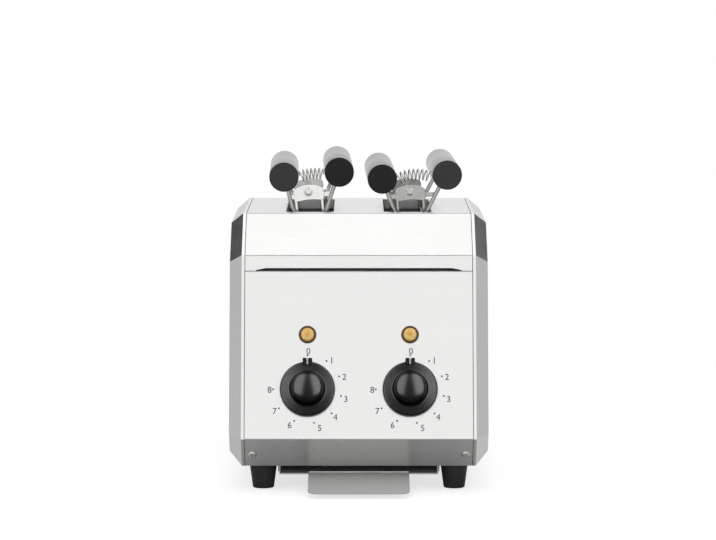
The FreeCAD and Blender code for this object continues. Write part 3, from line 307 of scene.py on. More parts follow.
def streaks(tree, spacing, along):
    """Noise in lines along one axis, about the given spacing apart and 160 times as long."""
    place = add_node(tree, "ShaderNodeTexCoord")
    scale = [1 / spacing] * 3
    scale["xyz".index(along)] /= 160
    mapping = add_node(tree, "ShaderNodeMapping", {"Scale": scale}, Vector=place.outputs["Object"])
    return add_node(tree, "ShaderNodeTexNoise", {"Scale": 1.0, "Detail": 4.0, "Roughness": 0.65},
                    Vector=mapping.outputs["Vector"])


def cloudy(tree, size, detail=3.0):
    """Soft noise with patches about the given size."""
    place = add_node(tree, "ShaderNodeTexCoord")
    return add_node(tree, "ShaderNodeTexNoise", {"Scale": 1 / size, "Detail": detail},
                    Vector=place.outputs["Object"])


def spread(tree, source, low, high):
    """Turns a noise's middle range into the range from low to high."""
    return add_node(tree, "ShaderNodeMapRange",
                    {"From Min": 0.3, "From Max": 0.7, "To Min": low, "To Max": high},
                    Value=source)


def two_tone(tree, source, first, second):
    """A colour that runs between two hex codes with a noise."""
    ramp = add_node(tree, "ShaderNodeValToRGB", Fac=source)
    ramp.color_ramp.elements[0].position = 0.35
    ramp.color_ramp.elements[0].color = rgba(first)
    ramp.color_ramp.elements[1].position = 0.65
    ramp.color_ramp.elements[1].color = rgba(second)
    return ramp.outputs["Color"]


def bumped(tree, shader, source, depth):
    """Raises the surface by a noise times a depth in metres."""
    bump = add_node(tree, "ShaderNodeBump", {"Strength": 1.0, "Distance": depth}, Height=source)
    tree.links.new(bump.outputs["Normal"], shader.inputs["Normal"])


def brushed_stainless(name, along, low, high, first, second, metallic=1.0):
    """Stainless sheet with a grain of fine parallel scratches, which blurs what it reflects.

    Real grain is about 0.1 mm from line to line; it is drawn at 0.8 mm so that it shows.
    """
    material, tree, shader = new_material(name)
    shader.inputs["Metallic"].default_value = metallic
    grain = streaks(tree, 0.8 * MM, along)
    tree.links.new(two_tone(tree, grain.outputs["Fac"], first, second), shader.inputs["Base Color"])
    smudge = cloudy(tree, 45 * MM)
    blur = spread(tree, smudge.outputs["Fac"], low, high)
    tree.links.new(blur.outputs["Result"], shader.inputs["Roughness"])
    bumped(tree, shader, grain.outputs["Fac"], 0.0005 * MM)
    return material


def plain_metal(name, first, second, low, high, patch):
    """Rolled or plated metal with faint patches of sheen."""
    material, tree, shader = new_material(name)
    shader.inputs["Metallic"].default_value = 1.0
    patches = cloudy(tree, patch)
    tree.links.new(two_tone(tree, patches.outputs["Fac"], first, second), shader.inputs["Base Color"])
    blur = spread(tree, patches.outputs["Fac"], low, high)
    tree.links.new(blur.outputs["Result"], shader.inputs["Roughness"])
    return material


def moulded(name, first, second, low, high, grit, depth, ior=1.5):
    """Moulded plastic, rubber, ink or ceramic: an even colour with a fine skin texture."""
    material, tree, shader = new_material(name)
    shader.inputs["IOR"].default_value = ior
    patches = cloudy(tree, 9 * MM)
    tree.links.new(two_tone(tree, patches.outputs["Fac"], first, second), shader.inputs["Base Color"])
    blur = spread(tree, patches.outputs["Fac"], low, high)
    tree.links.new(blur.outputs["Result"], shader.inputs["Roughness"])
    skin = cloudy(tree, grit, 2.0)
    bumped(tree, shader, skin.outputs["Fac"], depth)
    return material


def make_materials(colours):
    """Every finish on the toaster, by name. Roughness runs between the two numbers after the colours."""
    steel = (colours.steel_low, colours.steel_high)
    return {
        # Stainless sheet, brushed from side to side: soft vertical smears of what it reflects.
        "cover_steel": brushed_stainless("brushed_stainless_covers", "x", 0.26, 0.30, *steel),
        # The dished sides are brushed from front to back, and mirror a little more sharply.
        "side_steel": brushed_stainless("brushed_stainless_sides", "y", 0.22, 0.26, *steel),
        # The tray is satin-finished sheet made pale and nearly matt: its pale colour is a painted brightness
        # that stands in for what the steel would reflect, and it is hardly a mirror.
        "tray_steel": brushed_stainless("brushed_stainless_tray", "x", 0.44, 0.50, "#DEDEDC", "#E4E4E2",
                                        metallic=0.1),
        # Zinc-coated sheet inside and below: greyer, with a soft spangle.
        "zinc_sheet": plain_metal("zinc_coated_sheet", "#A3A4A5", "#B4B5B5", 0.34, 0.50, 7 * MM),
        # Zinc-plated screws and nuts: bright but a little milky.
        "zinc_plate": plain_metal("zinc_plated_steel", "#B9B8B4", "#C9C8C4", 0.22, 0.34, 3 * MM),
        # Aluminised reflectors: a darker grey, so the chambers look deep.
        "reflector": plain_metal("aluminised_reflector_sheet", "#626262", "#6E6E6D", 0.36, 0.48, 20 * MM),
        # Drawn stainless wire and the plates cut for it: nearly a mirror.
        "bright_wire": plain_metal("drawn_stainless_wire", "#D2D2D0", "#DADAD8", 0.14, 0.22, 9 * MM),
        # The same wire as a greyer mirror: on the jaws, and on the right tong's ear plates, where the grey is
        # a painted shade.
        "dull_wire": plain_metal("drawn_stainless_wire_dulled", "#9A9A98", "#A4A4A2", 0.18, 0.28, 9 * MM),
        # Turned rivets: smooth and pale.
        "rivet": plain_metal("turned_steel_rivet", "#C4C2BE", "#D4D2CE", 0.16, 0.26, 3 * MM),
        # Spring wire: a bit darker than the rivets, from its temper. On the right tong's rivets it is a
        # painted shade.
        "spring_wire": plain_metal("spring_steel_wire", "#A8A7A4", "#BCBBB8", 0.16, 0.26, 2 * MM),
        # Steatite: off-white and dry, with the pressed grain just visible.
        "ceramic": moulded("pressed_steatite", "#DCD7CB", "#E6E1D6", 0.50, 0.62, 0.6 * MM, 0.012 * MM),
        # Rubber feet: matt, very dark grey with a bloom.
        "rubber": moulded("moulded_rubber", "#141414", "#1D1D1D", 0.55, 0.70, 0.8 * MM, 0.015 * MM),
        # Black phenolic knobs: soft highlights over a nearly black body.
        "knob_black": moulded("moulded_black_phenolic", colours.knob_low, colours.knob_high, 0.20, 0.24,
                              1.5 * MM, 0.001 * MM, ior=1.2),
        # The outer grips: turned and polished, so they mirror the light above them.
        "grip_black": moulded("turned_black_phenolic", colours.grip_low, colours.grip_high, 0.13, 0.18,
                              1.0 * MM, 0.002 * MM, ior=1.45),
        # The inner grips: the same phenolic, painted darker and made to reflect less, a painted shade for the
        # darker reflection in their tilted end faces.
        "grip_deep": moulded("turned_black_phenolic_less_worn", "#030303", "#070707", 0.13, 0.18,
                             1.0 * MM, 0.002 * MM, ior=1.30),
        # The lamps' rings: dark nylon, coloured brown by a painted tint of the amber cap's light.
        "lamp_black": moulded("moulded_dark_nylon", "#4A3616", "#59431E", 0.25, 0.35, 1.0 * MM, 0.004 * MM),
        # Black nylon of the gland and the terminal block: half matt.
        "nylon": moulded("moulded_black_nylon", "#131313", "#1A1A1A", 0.42, 0.52, 0.8 * MM, 0.01 * MM),
        # The timers' grey cases, inside: half matt.
        "timer_grey": moulded("moulded_grey_case", "#4A4B4D", "#545557", 0.45, 0.55, 1.0 * MM, 0.01 * MM),
        # Screen-printed ink: a flat dark grey.
        "dial_ink": moulded("screen_printed_grey_ink", colours.print_low, colours.print_high, 0.4, 0.5,
                            0.5 * MM, 0.001 * MM),
        # The knobs' pointer lines: a groove filled with white paint.
        "white_line": moulded("filled_white_line", "#E6E6E4", "#F0F0EE", 0.4, 0.5, 0.5 * MM, 0.001 * MM),
        # The seams: a dark, matt strip, a painted shadow of the gap that they stand for.
        "seam_dark": moulded("dark_silicone_sealant", "#1A1A1A", "#222222", 0.6, 0.7, 0.8 * MM, 0.001 * MM),
        "amber": amber_cap(),
        "quartz": quartz_glass(),
    }


def amber_cap():
    """Moulded amber polycarbonate over a lamp.

    Its colour runs with the distance from its middle: deep orange in the middle and at the rim, and pale
    between, a painted highlight where its flutes gather light. It also glows faintly in that colour, a
    painted light that brightens the cap.
    """
    material, tree, shader = new_material("moulded_amber_polycarbonate")
    shader.inputs["IOR"].default_value = 1.58
    shader.inputs["Coat Weight"].default_value = 0.4
    shader.inputs["Coat Roughness"].default_value = 0.04
    shader.inputs["Roughness"].default_value = 0.2
    radial = add_node(tree, "ShaderNodeAttribute", {"attribute_name": "radial"})
    ramp = add_node(tree, "ShaderNodeValToRGB", Fac=radial.outputs["Fac"])
    stops = ((0.0, "#E3A526"), (0.3, "#EBB944"), (0.62, "#F4D98C"), (0.85, "#E9C468"), (1.0, "#B98428"))
    while len(ramp.color_ramp.elements) < len(stops):
        ramp.color_ramp.elements.new(0.5)
    for element, (place, code) in zip(ramp.color_ramp.elements, stops):
        element.position = place
        element.color = rgba(code)
    grains = cloudy(tree, 1.1 * MM, 1.0)
    mix = add_node(tree, "ShaderNodeMix", {"data_type": "RGBA", "blend_type": "MULTIPLY"})
    mix.inputs[0].default_value = 0.6
    tree.links.new(ramp.outputs["Color"], mix.inputs[6])
    tree.links.new(two_tone(tree, grains.outputs["Fac"], "#D9A95A", "#FFFFFF"), mix.inputs[7])
    tree.links.new(mix.outputs[2], shader.inputs["Base Color"])
    # The faint glow in the cap's own colour is painted light that brightens it.
    tree.links.new(mix.outputs[2], shader.inputs["Emission Color"])
    shader.inputs["Emission Strength"].default_value = 0.35
    bumped(tree, shader, grains.outputs["Fac"], 1.2e-4)
    return material


def quartz_glass():
    """Clear quartz tube with a faint milky bloom in patches."""
    material, tree, shader = new_material("clear_quartz")
    shader.inputs["IOR"].default_value = 1.46
    shader.inputs["Transmission Weight"].default_value = 0.9
    bloom = cloudy(tree, 14 * MM)
    tree.links.new(two_tone(tree, bloom.outputs["Fac"], "#F1F0EC", "#FAFAF8"), shader.inputs["Base Color"])
    blur = spread(tree, bloom.outputs["Fac"], 0.04, 0.14)
    tree.links.new(blur.outputs["Result"], shader.inputs["Roughness"])
    return material


MATERIALS = {}
# The frame's nodes by finish. A name with {side} stands for the left node and the right one.
NODE_FINISHES = {
    "cover_steel": ("top_cover", "front_panel", "rear_panel"),
    "side_steel": ("{side}_side_panel",),
    "tray_steel": ("crumb_tray",),
    "zinc_sheet": ("base_plate", "tray_rails", "front_heat_shield", "rear_heat_shield"),
    "zinc_plate": ("foot_screws", "panel_screws", "{side}_timer_nut", "{side}_timer_shaft"),
    "reflector": ("{side}_chamber_liner",),
    "bright_wire": ("heater_guards", "jaw_rest_bars", "{side}_tong_left_frame", "{side}_tong_right_frame",
                    "{side}_tong_pins"),
    "spring_wire": ("{side}_tong_spring",),
    "grip_black": ("{side}_tong_left_handle", "{side}_tong_right_handle"),
    "knob_black": ("{side}_knob",),
    "lamp_black": ("{side}_lamp_bezel", "{side}_lamp_holder"),
    "amber": ("{side}_lamp_lens",),
    "timer_grey": ("{side}_timer",),
    "quartz": ("quartz_tubes",),
    "ceramic": ("ceramic_holders",),
    "rubber": ("rubber_feet",),
    "nylon": ("cable_gland", "cable_gland_nut", "terminal_block"),
}
BENT_SHEETS = ("cover_steel", "side_steel", "tray_steel")


def finish_node(name, finish):
    """Gives a node its better material, and a bent sheet even shading round its bends."""
    node = frame["nodes"][name]
    node.data.materials.clear()
    node.data.materials.append(MATERIALS[finish])
    if finish in BENT_SHEETS:
        node.data.shade_smooth()
        node.data.set_sharp_from_angle(angle=math.radians(35))
        node.modifiers.new("even_normals", "WEIGHTED_NORMAL").keep_sharp = True


# Places worked out from the frame

def panel_axes(side):
    """A dial's middle on the panel, the panel's outward normal and its upward direction."""
    joint = JOINTS[side + "_knob_turn"]
    middle = np.array(joint["pos_m"])
    outward = unit(joint["axis"])
    upward = unit((0, outward[2], -outward[1]))
    return middle, outward, upward


def grip_middle(side, half):
    """The middle of the grip on one half of a tong."""
    low, high = node_box(f"{side}_tong_{half}_handle")
    return (low + high) / 2


def tong_axes(side):
    """A tong's pin point and its directions: across, along its pins and up, as rows.

    The grips lie level with each other in the tong, so the line between them gives its lean.
    """
    joint = JOINTS[side + "_tong_left_hinge"]
    along = unit(joint["axis"])
    across = grip_middle(side, "right") - grip_middle(side, "left")
    across = unit(across - along * np.dot(across, along))
    return np.array(joint["pos_m"]), np.stack([across, along, np.cross(across, along)])


def tong_shape(side):
    """Where the grips' middles are in the tong's own directions, for its left and right half."""
    pin, axes = tong_axes(side)
    return {half: axes @ (grip_middle(side, half) - pin) for half in SIDES}


# Settings

def length(name, description, size):
    """A property for a length given in millimetres."""
    return bpy.props.FloatProperty(name=name, description=description, default=size * MM, unit="LENGTH")


def colour(name, description, code):
    """A property for a colour given as an sRGB hex code."""
    return bpy.props.FloatVectorProperty(name=name, description=description, default=linear(code),
                                         subtype="COLOR", size=3, min=0, max=1)


class ToasterSizes(bpy.types.PropertyGroup):
    """Sizes of the pieces that are finished here."""
    numeral_height: length("Numeral height", "Height of the printed dial numbers", 5.6)
    dot_radius: length("Dot circle", "Radius of the circle of dots", 30.7)
    dot_size: length("Dot size", "Diameter of a printed dot", 1.7)
    knob_skirt: length("Knob skirt", "Diameter of a knob's skirt", 50.0)
    knob_boss: length("Knob boss", "Diameter of a knob's boss where it leaves the skirt", 30.0)
    knob_height: length("Knob height", "From the panel to the top of a knob's dome", 24.2)
    knob_gap: length("Knob gap", "From the panel to a knob's skirt", 1.2)
    skirt_thick: length("Skirt thickness", "Height of a knob's skirt at its rim", 5.5)
    pointer_reach: length("Pointer reach", "From a knob's middle to its pointer's end", 27.6)
    lamp_ring: length("Lamp ring", "Diameter of a pilot lamp's ring", 15.8)
    lamp_cap: length("Lamp cap", "Diameter of a pilot lamp's cap", 12.4)
    foot_top: length("Foot top", "Diameter of a foot under the body", 25.0)
    foot_tread: length("Foot tread", "Diameter of a foot on the counter", 19.0)
    foot_height: length("Foot height", "Height of a foot", 22.0)
    foot_well: length("Foot well", "Diameter of the well for a foot's screw head", 10.1)
    foot_bore: length("Foot bore", "Diameter of the hole for a foot's screw", 4.1)
    tab_width: length("Tab width", "Width of the crumb tray's pull tab", 91.0)
    tab_reach: length("Tab reach", "From the tab's front edge back to its hem", 56.4)
    tray_floor: length("Tray floor", "Height of the tray's floor where the tab begins", 14.3)
    hem: length("Hem", "Diameter of the hem", 1.8)
    screw_head: length("Screw head", "Diameter of a screw's head in the lower bands", 8.5)
    screw_spacing: length("Screw spacing", "From screw to screw across the body", 192.0)
    screw_down: length("Screw place", "From the fold down the band to a screw", 22.5)
    fold_height: length("Fold height", "Height of the fold above the lower bands", 50.0)
    shoulder_depth: length("Shoulder depth", "Over the bends between panels and slanted shoulders", 289.0)
    shoulder_height: length("Shoulder height", "Height of those bends", 211.5)
    top_depth: length("Top depth", "Flat top plate, front to back", 192.0)
    seam_line: length("Seam line", "Width of the dark line in the seams", 0.6)
    grip_length: length("Grip length", "Length of a black grip", 180.0)
    arm_wire: length("Arm wire", "Diameter of the tongs' bent wire", 3.7)
    knee_half: length("Knee place", "From a tong's middle to the bend of an arm", 15.2)
    knee_drop: length("Knee drop", "From the pin down to the bend of an arm", 17.4)
    knee_radius: length("Knee radius", "Radius of the bend of an arm", 14.0)
    tip_half: length("Jaw tip place", "From a tong's middle to a jaw's tip", 4.6)
    jaw_drop: length("Jaw drop", "From the pin down to a jaw's tip", 153.0)
    jaw_corner: length("Jaw corner", "Radius of a jaw's lower corners", 7.0)
    jaw_rail: length("Jaw rail", "Diameter of a jaw's long rails", 3.0)
    jaw_top_drop: length("Jaw top", "From the pin down to a jaw's upper rail", 26.0)
    strip_wide: length("Strip width", "Width of a jaw's flat strips", 3.0)
    strip_thick: length("Strip thickness", "Thickness of a jaw's flat strips", 1.2)
    left_arm_depth: length("Left arm depth", "From a tong's middle to a left half's arms", 69.0)
    right_arm_depth: length("Right arm depth", "From a tong's middle to a right half's arms", 67.3)
    ear_reach: length("Ear reach", "From the pin to the side of an ear plate", 13.2)
    ear_rise: length("Ear rise", "From the pin to the top of a front ear plate", 6.4)
    rear_ear_rise: length("Rear ear rise", "From the pin to the top of a rear ear plate", 3.4)
    ear_thick: length("Ear thickness", "Thickness of the ear plates", 1.5)
    rivet_head: length("Rivet head", "Diameter of a rivet's head", 6.5)
    rivet_hole: length("Rivet hole", "Diameter of the hole for a rivet in an ear plate", 4.1)
    washer: length("Washer", "Diameter of the washer under a rivet's domed head", 8.6)
    spring_wire: length("Spring wire", "Diameter of the spring's wire", 1.3)
    spring_outer: length("Spring diameter", "Outer diameter of the spring's coils", 10.6)
    spring_bow: length("Spring bow", "Radius of the spring's bowed middle line", 40.0)
    spring_place: length("Spring place", "From a tong's middle forward to its spring", 58.0)
    spring_drop: length("Spring drop", "From the grips' middles down to the spring's ends", 2.6)
    left_coils: bpy.props.FloatProperty(
        name="Left coils", description="Turns of the left spring", default=6.5)
    right_coils: bpy.props.FloatProperty(
        name="Right coils", description="Turns of the right spring", default=8.5)


class ToasterColours(bpy.types.PropertyGroup):
    """Colours that a maker could choose. Each finish runs softly between its two."""
    steel_low: colour("Steel", "Darker tone of the covers and the side panels", "#D7D7D6")
    steel_high: colour("Steel, paler", "Paler tone of the covers and the side panels", "#DADAD9")
    knob_low: colour("Knobs", "Darker tone of the knobs", "#010101")
    knob_high: colour("Knobs, paler", "Paler tone of the knobs", "#020202")
    grip_low: colour("Grips", "Darker tone of the outer grips", "#050505")
    grip_high: colour("Grips, paler", "Paler tone of the outer grips", "#0A0A0A")
    print_low: colour("Print", "Darker tone of the dials' print", "#4C4C4C")
    print_high: colour("Print, paler", "Paler tone of the dials' print", "#565656")


class ToasterStage(bpy.types.PropertyGroup):
    """The camera's place, pitch and lens."""
    camera_distance: bpy.props.FloatProperty(
        name="Camera distance", description="From the origin to the camera along the floor",
        default=3.177, unit="LENGTH")
    camera_side: bpy.props.FloatProperty(
        name="Camera side", description="To the right of the middle", default=-0.0007, unit="LENGTH")
    camera_height: bpy.props.FloatProperty(
        name="Camera height", description="Above the floor", default=0.488, unit="LENGTH")
    camera_pitch: bpy.props.FloatProperty(
        name="Camera pitch", description="Downwards from level",
        default=math.radians(5.4465), subtype="ANGLE")
    camera_lens: bpy.props.FloatProperty(
        name="Lens", description="Focal length on a 36 mm sensor, in millimetres", default=170.4)


# Operators

class TOASTER_OT_materials(bpy.types.Operator):
    """Make the finishes and give each node of the frame its own"""
    bl_idname = "toaster.materials"
    bl_label = "Finishes"

    def execute(self, context):
        MATERIALS.update(make_materials(context.scene.toaster_colours))
        for finish, names in NODE_FINISHES.items():
            nodes = {name.format(side=side) for name in names for side in SIDES}
            for node in sorted(nodes):
                finish_node(node, finish)
        return {"FINISHED"}


class TOASTER_OT_seams(bpy.types.Operator):
    """Draw the dark line in the seams between the covers and the side panels, a painted shadow of their gap
    """
    bl_idname = "toaster.seams"
    bl_label = "Seams"

    def execute(self, context):
        sizes = context.scene.toaster_sizes
        low, high = node_box("left_side_panel")
        cover, _, top = node_box("top_cover")[1]
        centre, fold = (low[1] + high[1]) / 2, (high[1] - low[1]) / 2
        drop = sizes.fold_height - sizes.foot_height
        half = [(fold - drop, sizes.foot_height), (fold, sizes.fold_height),
                (sizes.shoulder_depth / 2, sizes.shoulder_height), (sizes.top_depth / 2, top)]
        path = [(-y, z) for y, z in half] + half[::-1]
        path = fillet([(y + centre, z, 0) for y, z in path], [2 * MM] * 6, 5)[:, :2]
        way = np.gradient(path, axis=0)
        way /= np.linalg.norm(way, axis=1)[:, None]
        out = np.stack([-way[:, 1], way[:, 0]], axis=1)
        # Each strip, a painted shadow, fills the gap beside a cover's edge, from below the sheets' faces to
        # just above them.
        under, over = -0.3 * MM, 0.04 * MM
        strips = []
        for side in (-1, 1):
            middle = side * (cover + 0.12 * MM)
            near, far = middle - sizes.seam_line / 2, middle + sizes.seam_line / 2
            corners = [np.column_stack([np.full(len(path), x), path + rise * out])
                       for x, rise in ((near, over), (far, over), (far, under), (near, under))]
            faces = grid_faces(len(path), 4, close_columns=True)
            strips.append(capped(np.stack(corners, axis=1).reshape(-1, 3), faces, len(path), 4))
        make_piece("seam_lines", *together(*strips), MATERIALS["seam_dark"], "housing",
                   "black_rubber", smooth=False)
        return {"FINISHED"}


# The print's underside and face, above the panel.
PRINT_LOW, PRINT_HIGH = 0.02 * MM, 0.05 * MM


class TOASTER_OT_dials(bpy.types.Operator):
    """Print the dots and the numbers 0 to 8 round each knob"""
    bl_idname = "toaster.dials"
    bl_label = "Dials"

    def execute(self, context):
        sizes = context.scene.toaster_sizes
        for side in SIDES:
            middle, outward, upward = panel_axes(side)
            rightward = np.cross(upward, outward)
            marks = []
            dot = sizes.dot_size / 2
            for number, (across, up) in enumerate(NUMERAL_PLACES):
                angle = DIAL_STEP * number
                radial = upward * math.cos(angle) + rightward * math.sin(angle)
                disc = turned([(dot, PRINT_LOW), (dot, PRINT_HIGH)], middle + radial * sizes.dot_radius,
                              outward, upward, 20)
                marks.append(capped(*disc, 2, 20))
                place = middle + across * MM * rightward + up * MM * upward
                marks.append(printed_number(str(number), place, rightward, upward, outward,
                                            sizes.numeral_height))
            points, faces = together(*marks)
            make_piece(side + "_dial_print", points, faces, MATERIALS["dial_ink"], "housing",
                       "knob_plastic", smooth=False)
        return {"FINISHED"}


def printed_number(text, place, rightward, upward, outward, height):
    """A number's outline as a thin plate, centred on a place on the panel.

    Its strokes are thickened a little, but for those of the 4, which come out wrong when thickened.
    """
    curve = bpy.data.curves.new("number", "FONT")
    curve.body = text
    curve.size = 1.0
    curve.align_x = "CENTER"
    curve.extrude = 0.004
    curve.offset = 0.0 if text == "4" else 0.006
    holder = bpy.data.objects.new("number", curve)
    mesh = bpy.data.meshes.new_from_object(holder)
    count = len(mesh.vertices)
    flat = np.empty(count * 3)
    mesh.vertices.foreach_get("co", flat)
    flat = flat.reshape(-1, 3)
    faces = [tuple(p.vertices) for p in mesh.polygons]
    bpy.data.objects.remove(holder)
    bpy.data.curves.remove(curve)
    bpy.data.meshes.remove(mesh)
    low = flat.min(0)
    high = flat.max(0)
    middle = (low + high) / 2
    scale = height / (high[1] - low[1])
    x = (flat[:, 0] - middle[0]) * scale
    y = (flat[:, 1] - middle[1]) * scale
    z = np.where(flat[:, 2] > middle[2], PRINT_HIGH, PRINT_LOW)
    points = place + x[:, None] * rightward + y[:, None] * upward + z[:, None] * outward
    return points, faces


class TOASTER_OT_knobs(bpy.types.Operator):
    """Turn the two knobs with their pointers and white lines"""
    bl_idname = "toaster.knobs"
    bl_label = "Knobs"

    def execute(self, context):
        sizes = context.scene.toaster_sizes
        for side in SIDES:
            knob = make_piece(side + "_knob_moulding", *knob_shape(sizes, side), MATERIALS["knob_black"],
                              side + "_knob", "knob_plastic", sharp=math.radians(40))
            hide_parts(side + "_knob")
            make_piece(side + "_pointer_line", *pointer_line(sizes, side), MATERIALS["white_line"],
                       side + "_knob", "knob_plastic")
        return {"FINISHED"}


def knob_shape(sizes, side):
    """Skirt, boss with a domed face, and two lugs with a notch between them over the skirt's edge."""
    middle, outward, upward = panel_axes(side)
    rightward = np.cross(upward, outward)
    skirt, boss = sizes.knob_skirt / 2, sizes.knob_boss / 2
    low, top = sizes.knob_gap, sizes.knob_height
    wall, dome = 3 * MM, 1.5 * MM
    # Down inside the skirt, round its rim and over it, up the boss and onto its face.
    outline = fillet([(skirt - wall, low + wall), (skirt - wall, low), (skirt, low),
                      (skirt - 0.8 * MM, low + sizes.skirt_thick),
                      (boss + 0.6 * MM, low + sizes.skirt_thick + 0.5 * MM),
                      (boss - 2.0 * MM, top - dome - 0.9 * MM), (boss - 4.6 * MM, top - dome)],
                     [0.4 * MM, 0.5 * MM, 1.5 * MM, 1.6 * MM, 1.8 * MM], 7)
    # The face's height rises by dome * (1 - (radius / rim) squared).
    rim = outline[-1, 0]
    radius = np.linspace(rim, 0.01 * MM, 12)[1:]
    height = outline[-1, 1] + dome * (1 - (radius / rim) ** 2)
    outline = np.vstack([outline, np.stack([radius, height], axis=1)])
    body = capped(*turned(outline, middle, outward, upward, 96), len(outline), 96)
    lug = rounded_box(3.3 * MM, 6.8 * MM, 0.9 * MM)
    root = middle + upward * (sizes.pointer_reach - 3.4 * MM) + outward * 4.6 * MM
    lugs = [plate(lug, root + rightward * way * 2.55 * MM, rightward, upward, 6.0 * MM, 0.5 * MM)
            for way in (-1, 1)]
    return together(body, *lugs)


def rounded_box(width, height, radius):
    """A rectangle about its middle with rounded corners."""
    x, y = width / 2, height / 2
    corners = [(0, -y), (x, -y), (x, y), (-x, y), (-x, -y), (0, -y)]
    return fillet(corners, [radius] * 4, 5)[:-1]


def pointer_line(sizes, side):
    """The white line in the notch, which leans a little down over the skirt."""
    middle, outward, upward = panel_axes(side)
    rightward = np.cross(upward, outward)
    place = middle + upward * (sizes.pointer_reach - 2.9 * MM) + outward * 6.2 * MM
    line = rounded_box(1.7 * MM, 5.6 * MM, 0.3 * MM)
    return plate(line, place, rightward, upward - outward * 0.06, 1.6 * MM, 0.2 * MM)


class TOASTER_OT_lamps(bpy.types.Operator):
    """Turn the pilot lamps' rings and mould their caps"""
    bl_idname = "toaster.lamps"
    bl_label = "Pilot lamps"

    def execute(self, context):
        sizes = context.scene.toaster_sizes
        for side in SIDES:
            place = lamp_middle(side)
            _, outward, upward = panel_axes(side)
            rim = sizes.lamp_ring / 2
            seat = sizes.lamp_cap / 2
            neck = seat + 0.4 * MM
            foot, back = 0.05 * MM, -3.5 * MM
            outline = fillet([(neck, foot), (rim, foot), (rim, 1.4 * MM), (rim - 0.7 * MM, 2.4 * MM),
                              (seat, 2.3 * MM), (seat, back), (neck, back), (neck, foot)],
                             [0.2 * MM, 0.5 * MM, 0.5 * MM, 0.3 * MM, 0, 0], 5)
            ring = make_piece(side + "_lamp_ring", *turned(outline, place, outward, upward, 64),
                              MATERIALS["lamp_black"], "housing", "lamp_black")
            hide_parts(side + "_lamp_bezel")
            cap = make_piece(side + "_lamp_cap", *lamp_cap(seat - 0.1 * MM, place, outward, upward),
                             MATERIALS["amber"], "housing", "amber_lens", sharp=math.radians(60))
            mark_radius(cap, place, outward, seat)
            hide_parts(side + "_lamp_lens")
        return {"FINISHED"}


def lamp_middle(side):
    """A lamp's middle on the panel: as far up it from the dial as the middle of the lamp's ring."""
    low, high = node_box(side + "_lamp_bezel")
    middle, _, upward = panel_axes(side)
    return middle + upward * np.dot((low + high) / 2 - middle, upward)


def lamp_cap(radius, place, outward, upward, rings=16, steps=96):
    """A shallow cap with sixteen soft flutes round it, and a straight wall down into its ring.

    height = 1.6 + 2.6 * sqrt(1 - q^2) + 0.10 * q^2 * cos 16a millimetres, with q the share of the
    radius and a the angle.
    """
    share = np.concatenate([[1.0], np.sin(np.linspace(math.pi / 2, 0.02, rings))])[:, None]
    angle = np.linspace(0, 2 * np.pi, steps, endpoint=False)[None]
    dome = 2.6 * np.sqrt(np.clip(1 - share ** 2, 0, 1))
    height = (1.6 + dome + 0.10 * share ** 2 * np.cos(16 * angle)) * MM
    height[0] = -3.0 * MM
    return raised(share, angle, height, radius, place, outward, upward)


def raised(share, angle, height, radius, place, outward, upward):
    """A round surface given by its height at each share of the radius and each angle, closed below.

    point = place + height * outward + radius * share * (cos angle * right + sin angle * upward).
    """
    right = unit(np.cross(upward, outward))
    around = np.cos(angle)[..., None] * right + np.sin(angle)[..., None] * upward
    points = np.asarray(place) + height[..., None] * outward + radius * share[..., None] * around
    rows, columns = height.shape
    return capped(points.reshape(-1, 3), grid_faces(rows, columns, close_columns=True), rows, columns)


def mark_radius(piece, place, axis, radius):
    """Stores how far each point is from an axis, as a share of the radius, for the material."""
    count = len(piece.data.vertices)
    points = np.empty(count * 3)
    piece.data.vertices.foreach_get("co", points)
    away = points.reshape(-1, 3) - place
    away -= np.outer(away @ axis, axis)
    share = np.linalg.norm(away, axis=1) / radius
    piece.data.attributes.new("radial", "FLOAT", "POINT").data.foreach_set("value", share.astype(np.float32))


class TOASTER_OT_hem(bpy.types.Operator):
    """Roll the bright hem where the crumb tray's pull tab begins"""
    bl_idname = "toaster.hem"
    bl_label = "Tray hem"

    def execute(self, context):
        sizes = context.scene.toaster_sizes
        low, _ = node_box("crumb_tray")
        place = np.array([0, low[1] + sizes.tab_reach, sizes.tray_floor + sizes.hem / 2])
        half = np.array([sizes.tab_width / 2, 0, 0])
        make_piece("tray_hem", *domed_rod(place - half, place + half, sizes.hem / 2),
                   MATERIALS["bright_wire"], "crumb_tray", "satin_steel")
        return {"FINISHED"}


class TOASTER_OT_feet(bpy.types.Operator):
    """Turn the four rubber feet"""
    bl_idname = "toaster.feet"
    bl_label = "Feet"

    def execute(self, context):
        sizes = context.scene.toaster_sizes
        low, high = node_box("rubber_feet")
        top, tread, height = sizes.foot_top / 2, sizes.foot_tread / 2, sizes.foot_height
        well, bore = sizes.foot_well / 2, sizes.foot_bore / 2
        outline = fillet([(bore, height), (bore, height / 2), (well, height / 2), (well, 0), (tread, 0),
                          (top, height), (bore, height)], [0, 0, 0.5 * MM, 1.0 * MM, 0.3 * MM], 6)
        feet = [turned(outline, (x, y, 0), (0, 0, 1), (0, 1, 0), 64)
                for x in (low[0] + top, high[0] - top) for y in (low[1] + top, high[1] - top)]
        piece = make_piece("tapered_feet", *together(*feet), MATERIALS["rubber"], "housing", "black_rubber")
        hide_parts("rubber_feet")
        return {"FINISHED"}


